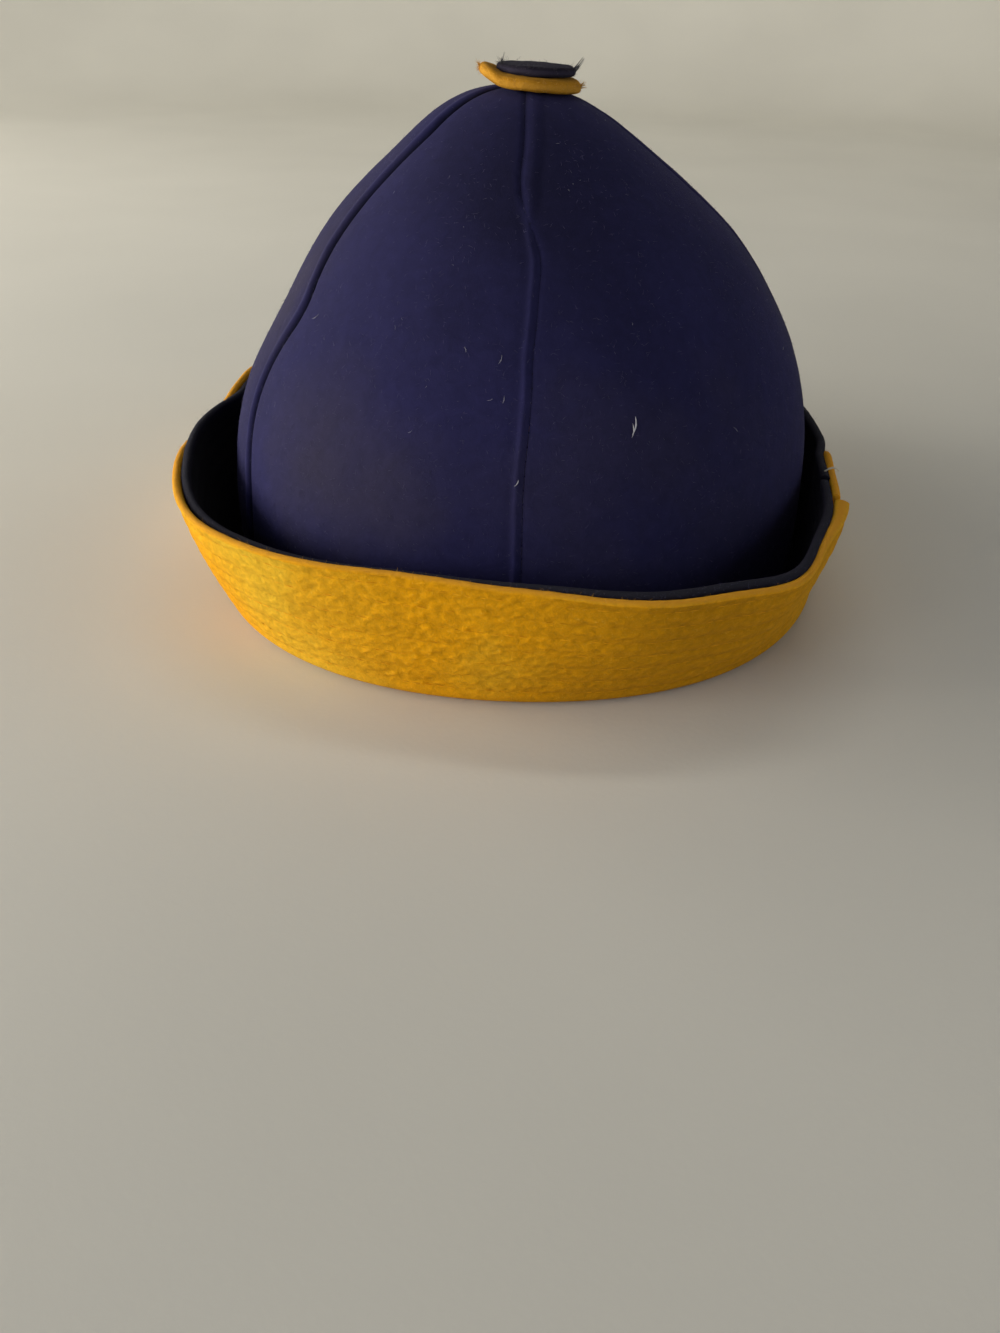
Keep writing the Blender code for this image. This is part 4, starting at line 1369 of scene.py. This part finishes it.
def make_hem_stitches(material, sizes):
    """Underneath, the row of stitches that holds the brim to the crown."""
    threads = ThreadBundle()
    for i in range(HEM_STITCHES):
        first, last = (
            Vector((*plan_point(2.0 * math.pi * (i + part) / HEM_STITCHES, -HEM_INSET, 0.0), HEM_HEIGHT))
            for part in (0.1, 0.7))
        threads.add_stitch(first, last, Vector((0.0, 0.0, -1.0)), STITCH_BOW, sizes.stitch_thickness)
    threads.place("hem_stitches", material, "gold_wool_felt")


def make_loose_thread_end(material):
    """The pale thread that was left sticking out where the facing's ends meet at the top edge."""
    azimuth = math.radians(FACING_END_AZIMUTH_DEG + LOOSE_THREAD_PAST_END_DEG)
    face = brim_face(azimuth, SHELL_FELT)
    start = brim_point(azimuth, 0.0, *wall_point(face, 1.0, 0.0), FACING_LEAN_AT(azimuth) * MM)
    outward = way_of(azimuth, 0.0)
    onward = way_of(azimuth + 0.5 * math.pi, 0.0)
    path = []
    for bend in LOOSE_THREAD_BENDS:
        step = outward * bend.out_mm + onward * bend.onward_mm + Vector((0.0, 0.0, bend.up_mm))
        path.append(start + step * MM)
    threads = ThreadBundle()
    threads.add(path, [bend.thickness_mm * MM for bend in LOOSE_THREAD_BENDS], 6)
    threads.place("loose_thread_end", material, "gold_wool_felt")


def disc_mesh(name, centre_x, radius, rounding, underside, upper_side):
    """A felt disc: its faces, and a rounded rim between them, as one closed lathed form."""
    inner = radius - rounding
    profile = [(inner * i / DISC_FACE_STEPS, -1.0) for i in range(1, DISC_FACE_STEPS)]
    for i in range(DISC_RIM_STEPS + 1):
        angle = -0.5 * math.pi + math.pi * i / DISC_RIM_STEPS
        profile.append((inner + rounding * math.cos(angle), math.sin(angle)))
    profile += [(inner * i / DISC_FACE_STEPS, 1.0) for i in range(DISC_FACE_STEPS - 1, 0, -1)]
    loops = []
    for distance, side in profile:
        loop = []
        for i in range(DISC_SIDES):
            angle = 2.0 * math.pi * i / DISC_SIDES
            way = Vector((math.cos(angle), math.sin(angle), 0.0))
            lump = noise.noise(way * 2.6 + Vector((centre_x / MM, 0.0, side))) * DISC_LUMP
            finer = Vector((0.0, 0.0, 2.0 * side + distance / DISC_ROUGHNESS_SIZE))
            lump += noise.noise(way * 11.0 + finer) * DISC_ROUGHNESS
            reach = distance + lump * smooth_step((distance - 0.6 * inner) / (radius - 0.6 * inner))
            x = centre_x + reach * way.x
            y = reach * way.y
            low = underside(x, y)
            high = upper_side(x, y)
            middle = 0.5 * (low + high)
            height = middle + 0.5 * (high - low) * side
            height += noise.noise(Vector((x, y, height)) / DISC_ROUGHNESS_SIZE) * DISC_ROUGHNESS
            rim = smooth_step((distance - inner) / (0.6 * rounding))
            # Painted light along the middle of the rim, and painted shade towards its two faces
            painted_rim_light = 0.55 - 1.3 * abs(side) ** 3
            loop.append(FeltPoint(Vector((x, y, height)), 0.5 * rim, painted_rim_light * rim))
        loops.append(loop)
    return lofted_felt(name, loops)


# Thicknesses of the loose wool fibres, and of a crown fibre's root, middle and tip
BUTTON_FIBRE = 0.08 * MM
EDGE_FIBRE = 0.045 * MM
FUZZ_THICKNESSES = (0.050 * MM, 0.042 * MM, 0.012 * MM)

# Fibres that catch the eye: where they leave the button, which way, and how long they are
TUFT_ROWS = table(
    "TuftRow", "disc azimuth_deg side_deg up_deg length_mm thickness_mm curl count",
    ("top", -66.0, 60.0, 64.0, 3.0, 0.34, 0.25, 8),
    ("top", -66.0, -30.0, 70.0, 1.8, 0.20, 0.40, 5),
    ("top", 76.0, 84.0, 42.0, 5.0, 0.55, -0.10, 4),
    ("top", 76.0, 80.0, 36.0, 3.6, 0.40, 0.10, 4),
    ("base", -88.0, -60.0, 60.0, 1.9, 0.20, 0.40, 22),
    ("base", -80.0, -80.0, 8.0, 1.7, 0.18, 0.40, 16),
    ("base", 84.0, 80.0, 30.0, 1.9, 0.20, 0.45, 22),
    ("top", -8.0, 0.0, 80.0, 1.3, 0.12, 0.30, 6),
    ("top", 30.0, 10.0, 70.0, 1.2, 0.12, 0.30, 6),
)


def button_rim_place(disc, azimuth):
    """A point on the rim of one of the button's discs."""
    base = disc == "base"
    radius = BASE_DISC_RADIUS if base else TOP_DISC_RADIUS
    centre_x = BASE_DISC_SHIFT if base else TOP_DISC_SHIFT
    x = centre_x + (radius - RIM_FIBRE_INSET) * math.sin(azimuth)
    y = -(radius - RIM_FIBRE_INSET) * math.cos(azimuth)
    top = disc_plane(BASE_DISC_TOP)(x, y)
    height = top + rim_curl(x) - BASE_RIM_FIBRE_DROP if base else top + FIT_GAP + 0.6 * TOP_DISC_THICKNESS
    return Vector((x, y, height))


def way_of(azimuth, up):
    """A direction, from its azimuth and its angle above the horizontal."""
    return Vector((math.sin(azimuth) * math.cos(up), -math.cos(azimuth) * math.cos(up), math.sin(up)))


def make_button_fibres(gold, purple):
    """Frayed wool at the rims of the button's discs."""
    chance = random.Random(41)
    bundles = {"base": ThreadBundle(), "top": ThreadBundle()}
    for tuft in TUFT_ROWS:
        for _ in range(tuft.count):
            azimuth = math.radians(tuft.azimuth_deg + chance.uniform(-4.0, 4.0))
            start = button_rim_place(tuft.disc, azimuth)
            start += Vector((0.0, 0.0, chance.uniform(-0.6, 0.6) * MM))
            way = way_of(
                math.radians(tuft.side_deg + chance.uniform(-12.0, 12.0)),
                math.radians(tuft.up_deg + chance.uniform(-9.0, 9.0)))
            length = tuft.length_mm * MM * chance.uniform(0.55, 1.0)
            path = fibre_path(start, way, length, tuft.curl * chance.uniform(0.4, 1.3), 5, chance)
            thickness = tuft.thickness_mm * MM * chance.uniform(0.5, 1.0)
            bundles[tuft.disc].add_fibre(path, thickness, 4)
    for disc, count in (("base", 420), ("top", 200)):
        for _ in range(count):
            azimuth = chance.uniform(-math.pi, math.pi)
            start = button_rim_place(disc, azimuth)
            start += Vector((0.0, 0.0, chance.uniform(-1.2, 1.0) * MM))
            way = way_of(azimuth + chance.uniform(-0.9, 0.9), chance.uniform(-0.5, 1.3))
            length = chance.uniform(0.45, 1.3) * MM
            path = fibre_path(start, way, length, chance.uniform(-0.6, 0.6), 3, chance)
            bundles[disc].add_fibre(path, BUTTON_FIBRE, 3)
    bundles["base"].place("gold_disc_fibres", gold, "gold_wool_felt_disc")
    bundles["top"].place("purple_disc_fibres", purple, "purple_wool_felt_disc")


def make_edge_fibres(name, end_deg, depth, drop_at, count, seed, material, slot):
    """Short fibres that stand off the cut top edge of one ply of the brim."""
    chance = random.Random(seed)
    fibres = ThreadBundle()
    end = math.radians(end_deg)
    for _ in range(count):
        share = chance.uniform(0.001, 0.999)
        azimuth = end + share * 2.0 * math.pi
        face = brim_face(azimuth, depth + chance.uniform(0.1, 0.9) * SHELL_FELT)
        reach, height = wall_point(face, 1.0, 0.0)
        height -= EDGE_FIBRE_DROP + max(drop_at(azimuth), 0.0) * MM
        lean = end_lift(share) if drop_at is SHELL_DROP_AT else max(FACING_LEAN_AT(azimuth), 0.0) * MM
        start = brim_point(end, share, reach, height, lean)
        way = way_of(azimuth + chance.uniform(-1.6, 1.6), chance.uniform(0.1, 1.4))
        length = chance.uniform(0.5, 1.5) * MM
        path = fibre_path(start, way, length, chance.uniform(-0.7, 0.7), 3, chance)
        fibres.add_fibre(path, EDGE_FIBRE, 3)
    fibres.place(name, material, slot)


def make_crown_fuzz(material, sizes):
    """Fine wool fibres that stand off the crown all over."""
    chance = random.Random(7)
    fibres = ThreadBundle()
    for _ in range(sizes.fuzz_count):
        along = CROWN_SIDE * (0.04 + 0.94 * (1.0 - math.sqrt(chance.uniform(0.0, 1.0))))
        ring = crown_ring(along)
        azimuth = chance.uniform(-math.pi, math.pi)
        start = crown_point(ring, azimuth, FUZZ_ROOT_LIFT)
        outward = crown_normal(ring, azimuth)
        lying = outward.orthogonal().normalized()
        lying.rotate(Matrix.Rotation(chance.uniform(0.0, 2.0 * math.pi), 3, outward))
        way = (lying + outward * chance.uniform(0.15, 0.9)).normalized()
        length = sizes.fuzz_length * chance.uniform(0.4, 1.0)
        path = [start]
        for share in (0.5, 1.0):
            path.append(start + way * (length * share) - outward * (0.25 * length * share * share))
        fibres.add(path, FUZZ_THICKNESSES, 3)
    fibres.place("crown_fuzz", material, "purple_wool_felt")


# Lint and scuffs that show on the crown: a place, a length along the felt, and the way it points
LintRow = namedtuple("LintRow", "azimuth_deg share length_mm lean_deg thickness_mm")
LINT_ROWS = (
    LintRow(19.8, 0.406, 4.4, 20.0, 0.42),
    LintRow(19.4, 0.400, 3.4, 12.0, 0.30),
    LintRow(-0.9, 0.334, 1.8, 35.0, 0.24),
    LintRow(-4.9, 0.497, 2.2, 15.0, 0.10),
    LintRow(-3.6, 0.444, 1.8, 8.0, 0.08),
    LintRow(-52.8, 0.498, 3.0, 50.0, 0.10),
    LintRow(-12.1, 0.506, 1.6, -30.0, 0.09),
    LintRow(-6.0, 0.443, 1.5, 70.0, 0.08),
    LintRow(41.3, 0.372, 2.0, -40.0, 0.07),
)
LINT_SCATTER = 34
LINT_STEPS = 5
LINT_BOW = 0.12
LINT_LIFT = 0.10 * MM


def make_lint(material):
    """Pale lint caught on the crown: the marks that show, and a scatter of finer bits all round."""
    chance = random.Random(23)
    rows = list(LINT_ROWS)
    for _ in range(LINT_SCATTER):
        rows.append(LintRow(
            chance.uniform(-180.0, 180.0), chance.uniform(0.12, 0.9), chance.uniform(0.5, 1.5),
            chance.uniform(-90.0, 90.0), chance.uniform(0.035, 0.06)))
    lint = ThreadBundle()
    for row in rows:
        along = row.share * CROWN_SIDE
        lean = math.radians(row.lean_deg)
        path = []
        for i in range(LINT_STEPS + 1):
            onward = (i / LINT_STEPS - 0.5) * row.length_mm * MM
            bow = LINT_BOW * row.length_mm * MM * math.sin(math.pi * i / LINT_STEPS)
            ring = crown_ring(along + onward * math.cos(lean) - bow * math.sin(lean))
            radius = ring.spread * CROWN_MEAN_RADIUS
            aside = onward * math.sin(lean) + bow * math.cos(lean)
            azimuth = math.radians(row.azimuth_deg) + aside / radius
            path.append(crown_point(ring, azimuth, -0.4 * row.thickness_mm * MM - LINT_LIFT))
        taper = [math.sin(math.pi * (0.08 + 0.84 * i / LINT_STEPS)) for i in range(LINT_STEPS + 1)]
        lint.add(path, [row.thickness_mm * MM * share for share in taper], 5)
    lint.place("lint", material, "purple_wool_felt")


# Stage


def camera_pose():
    """Where the camera stands and how it is turned, from the aim's pixel, elevation, distance and roll."""
    elevation = math.radians(CAMERA_ELEVATION_DEG)
    aim = CROWN_AXIS + Vector((0.0, 0.0, AIM_HEIGHT))
    back = Vector((0.0, -math.cos(elevation), math.sin(elevation)))
    ahead = -back
    right = Vector((1.0, 0.0, 0.0))
    up = right.cross(ahead)
    across = (AIM_PX[0] - 0.5 * PHOTO_WIDTH_PX) / FOCAL_LENGTH_PX
    above = (0.5 * PHOTO_HEIGHT_PX - AIM_PX[1]) / FOCAL_LENGTH_PX
    yaw = math.atan2(across, 1.0)
    pitch = math.atan2(above, math.hypot(across, 1.0))
    roll = math.radians(CAMERA_ROLL_DEG)
    turn_yaw = Matrix.Rotation(-yaw, 3, "Y")
    turn_pitch = Matrix.Rotation(pitch, 3, "X")
    turn_roll = Matrix.Rotation(roll, 3, "Z")
    facing = Matrix((right, up, ahead)).transposed() @ turn_roll @ turn_pitch @ turn_yaw
    axes = Matrix((facing.col[0], facing.col[1], -facing.col[2])).transposed()
    return Matrix.Translation(aim + back * CAMERA_DISTANCE) @ axes.to_4x4()


def make_camera():
    """The photograph's camera."""
    data = bpy.data.cameras.new("camera")
    data.sensor_fit = "AUTO"
    data.sensor_width = SENSOR_MM
    data.lens = SENSOR_MM * FOCAL_LENGTH_PX / PHOTO_HEIGHT_PX
    data.clip_start = 0.01
    data.clip_end = 50.0
    data.dof.use_dof = False
    camera = bpy.data.objects.new("camera", data)
    bpy.context.scene.collection.objects.link(camera)
    camera.matrix_world = camera_pose()
    bpy.context.scene.camera = camera


# Soft lights: the key comes in low from the left, as from a window, and the last one lights the backdrop
LIGHT_ROWS = table(
    "LightRow", "name azimuth_deg up_deg distance width height power colour_hex aim_y aim_z",
    ("key", -85.0, 12.0, 1.35, 0.90, 0.55, 12.2, "#fffaf3", 0.0, 0.06),
    ("key_back", -110.0, 12.0, 1.35, 0.90, 0.55, 6.6, "#fffaf3", 0.0, 0.06),
    ("key_front", -58.0, 12.0, 1.35, 0.90, 0.55, 6.0, "#fffaf3", 0.0, 0.06),
    ("front", -35.0, 24.0, 1.35, 0.90, 0.70, 2.6, "#dde6ff", 0.0, 0.06),
    ("fill", 75.0, 16.0, 1.35, 0.90, 0.60, 2.8, "#cddcff", 0.0, 0.06),
    ("backdrop", 180.0, 140.0, 1.60, 1.20, 0.50, 9.0, "#fffaf3", 1.70, 0.45),
)
AMBIENT_HEX = "#e6ecff"
AMBIENT_STRENGTH = 0.02

# The floor's cove and wall, and how finely they are divided
FLOOR_COVE = 0.45
WALL_TOP = 1.3
COVE_STEPS = 12
FLOOR_SIDES = 128


def make_lights():
    """The soft lights of the table, and a faint even light all round."""
    for row in LIGHT_ROWS:
        data = bpy.data.lights.new(row.name, "AREA")
        data.shape = "RECTANGLE"
        data.size = row.width
        data.size_y = row.height
        data.energy = row.power
        data.color = linear_colour(row.colour_hex)
        light = bpy.data.objects.new(row.name, data)
        bpy.context.scene.collection.objects.link(light)
        way = way_of(math.radians(row.azimuth_deg), math.radians(row.up_deg))
        light.location = Vector((0.0, row.aim_y, row.aim_z)) + way * row.distance
        light.rotation_euler = way.to_track_quat("Z", "Y").to_euler()
    world = bpy.data.worlds.new("studio")
    world.use_nodes = True
    background = world.node_tree.nodes["Background"]
    background.inputs["Color"].default_value = linear_colour(AMBIENT_HEX) + (1.0,)
    background.inputs["Strength"].default_value = AMBIENT_STRENGTH
    bpy.context.scene.world = world
    bpy.context.scene.view_settings.view_transform = "Standard"


def make_floor(colour, radius):
    """A round floor that sweeps up into a low wall all round, so every view has the same background."""
    profile = [(0.0, 0.0), (0.35 * radius, 0.0), (0.7 * radius, 0.0)]
    for i in range(COVE_STEPS + 1):
        angle = 0.5 * math.pi * i / COVE_STEPS
        profile.append((radius + FLOOR_COVE * math.sin(angle), FLOOR_COVE * (1.0 - math.cos(angle))))
    profile.append((radius + FLOOR_COVE, WALL_TOP))
    points = [(0.0, 0.0, 0.0)]
    faces = []
    for distance, height in profile[1:]:
        for i in range(FLOOR_SIDES):
            turn = 2.0 * math.pi * i / FLOOR_SIDES
            points.append((distance * math.cos(turn), distance * math.sin(turn), height))
    for i in range(FLOOR_SIDES):
        after = (i + 1) % FLOOR_SIDES
        faces.append((0, 1 + i, 1 + after))
        for row in range(len(profile) - 2):
            low = 1 + row * FLOOR_SIDES
            high = low + FLOOR_SIDES
            faces.append((low + i, high + i, high + after, low + after))
    mesh = bpy.data.meshes.new("floor")
    mesh.from_pydata(points, [], faces)
    mesh.materials.append(floor_material(colour))
    mesh.shade_smooth()
    floor = bpy.data.objects.new("floor", mesh)
    bpy.context.scene.collection.objects.link(floor)


def clear_start_objects():
    """Remove what Blender starts with, and leave the frame."""
    kept = set(frame["bodies"].values()) | set(frame["nodes"].values())
    for item in list(bpy.data.objects):
        if item not in kept:
            bpy.data.objects.remove(item, do_unlink=True)


class BEANIE_OT_stage(Operator):
    """Make the camera, the soft lights and the pale floor"""

    bl_idname = "beanie.stage"
    bl_label = "Stage"

    def execute(self, context):
        clear_start_objects()
        make_camera()
        make_lights()
        scene = context.scene
        make_floor(tuple(scene.beanie_colours.floor), scene.beanie_sizes.floor_radius)
        return {"FINISHED"}


class BEANIE_OT_crown(Operator):
    """Make the crown's felt gores, and the threads in the seams between them"""

    bl_idname = "beanie.crown"
    bl_label = "Crown"

    def execute(self, context):
        sizes = context.scene.beanie_sizes
        colour = tuple(context.scene.beanie_colours.crown)
        felt = felt_material("pressed_wool_felt_purple", colour, CROWN_FELT_LOOK)
        for number in range(len(SEAM_ROWS)):
            make_gore(number, felt, sizes)
        make_seam_threads(thread_material("spun_cotton_thread_purple", "#131220"), sizes)
        make_seam_allowances(felt)
        return {"FINISHED"}


class BEANIE_OT_brim(Operator):
    """Make the brim's two plies and the stitches that hold them"""

    bl_idname = "beanie.brim"
    bl_label = "Brim"

    def execute(self, context):
        sizes = context.scene.beanie_sizes
        colours = context.scene.beanie_colours
        shell_felt = felt_material("pressed_wool_felt_gold", tuple(colours.shell), SHELL_LOOK)
        facing_felt = felt_material("pressed_wool_felt_facing", tuple(colours.facing), FACING_LOOK)
        shell_loops = [shell_loop(share, sizes) for share in stations(SHELL_STATIONS)]
        shell = lofted_felt("felt_shell", shell_loops)
        place_piece("felt_shell", shell, shell_felt, ["brim_shell"])
        facing_loops = [facing_loop(share, sizes) for share in stations(FACING_STATIONS)]
        facing = lofted_felt("felt_facing", facing_loops)
        place_piece("felt_facing", facing, facing_felt, ["brim_facing"])
        thread = thread_material("spun_cotton_thread_gold", "#e0a012")
        make_brim_stitches(thread, sizes)
        make_hem_stitches(thread, sizes)
        make_loose_thread_end(thread_material("spun_cotton_thread_pale", "#c9c2ad"))
        return {"FINISHED"}


class BEANIE_OT_button(Operator):
    """Make the two felt discs of the button"""

    bl_idname = "beanie.button"
    bl_label = "Button"

    def execute(self, context):
        colours = context.scene.beanie_colours
        plane = disc_plane(BASE_DISC_TOP)
        base = disc_mesh(
            "gold_disc", BASE_DISC_SHIFT, BASE_DISC_RADIUS, BASE_DISC_ROUNDING,
            lambda x, y: crown_top_height(x, y) + FIT_GAP + rim_curl(x),
            lambda x, y: plane(x, y) + rim_curl(x))
        gold = felt_material("pressed_wool_felt_gold_disc", tuple(colours.gold_disc), GOLD_DISC_LOOK)
        place_piece("gold_disc", base, gold, ["button_base"])
        top = disc_mesh(
            "purple_disc", TOP_DISC_SHIFT, TOP_DISC_RADIUS, TOP_DISC_ROUNDING,
            disc_plane(BASE_DISC_TOP, TOP_DISC_TILT_DEG),
            disc_plane(BASE_DISC_TOP + TOP_DISC_THICKNESS, TOP_DISC_TILT_DEG))
        purple = felt_material(
            "pressed_wool_felt_purple_disc", tuple(colours.purple_disc), PURPLE_DISC_LOOK)
        place_piece("purple_disc", top, purple, ["button_top"])
        return {"FINISHED"}


class BEANIE_OT_fibres(Operator):
    """Make the loose wool: frayed rims, fuzzy edges, the crown's fuzz and its lint"""

    bl_idname = "beanie.fibres"
    bl_label = "Loose Fibres"

    def execute(self, context):
        sizes = context.scene.beanie_sizes
        gold = fibre_material("loose_wool_gold", "#c99838")
        purple = fibre_material("loose_wool_purple", "#454260")
        make_button_fibres(gold, fibre_material("loose_wool_dark_grey", "#33313a"))
        make_edge_fibres(
            "shell_edge_fibres", SHELL_END_AZIMUTH_DEG, 0.0, SHELL_DROP_AT, 1500, 3, gold, "gold_wool_felt")
        make_edge_fibres(
            "facing_edge_fibres", FACING_END_AZIMUTH_DEG, SHELL_FELT + FIT_GAP, FACING_DROP_AT, 1200, 5,
            purple, "purple_wool_felt_facing")
        make_crown_fuzz(purple, sizes)
        make_lint(fibre_material("lint_off_white", "#a9a8ad"))
        return {"FINISHED"}


class BEANIE_PT_panel(Panel):
    """The beanie's sizes, colours and steps"""

    bl_idname = "BEANIE_PT_panel"
    bl_label = "Felt Beanie"
    bl_space_type = "VIEW_3D"
    bl_region_type = "UI"
    bl_category = "Beanie"

    def draw(self, context):
        column = self.layout.column()
        for group in (context.scene.beanie_sizes, context.scene.beanie_colours):
            for name in group.__annotations__:
                column.prop(group, name)
        for operator in OPERATORS:
            column.operator(operator.bl_idname)


OPERATORS = (BEANIE_OT_stage, BEANIE_OT_crown, BEANIE_OT_brim, BEANIE_OT_button, BEANIE_OT_fibres)
CLASSES = (BeanieSizes, BeanieColours) + OPERATORS + (BEANIE_PT_panel,)


def register():
    """Register the classes, and hang the sizes and colours on the scene."""
    for item in CLASSES:
        bpy.utils.register_class(item)
    bpy.types.Scene.beanie_sizes = PointerProperty(type=BeanieSizes)
    bpy.types.Scene.beanie_colours = PointerProperty(type=BeanieColours)


def unregister():
    """Undo what register did."""
    del bpy.types.Scene.beanie_colours
    del bpy.types.Scene.beanie_sizes
    for item in reversed(CLASSES):
        bpy.utils.unregister_class(item)


def main():
    """Make the stage and every piece."""
    register()
    bpy.ops.beanie.stage()
    bpy.ops.beanie.crown()
    bpy.ops.beanie.brim()
    bpy.ops.beanie.button()
    bpy.ops.beanie.fibres()


if __name__ == "__main__":
    main()
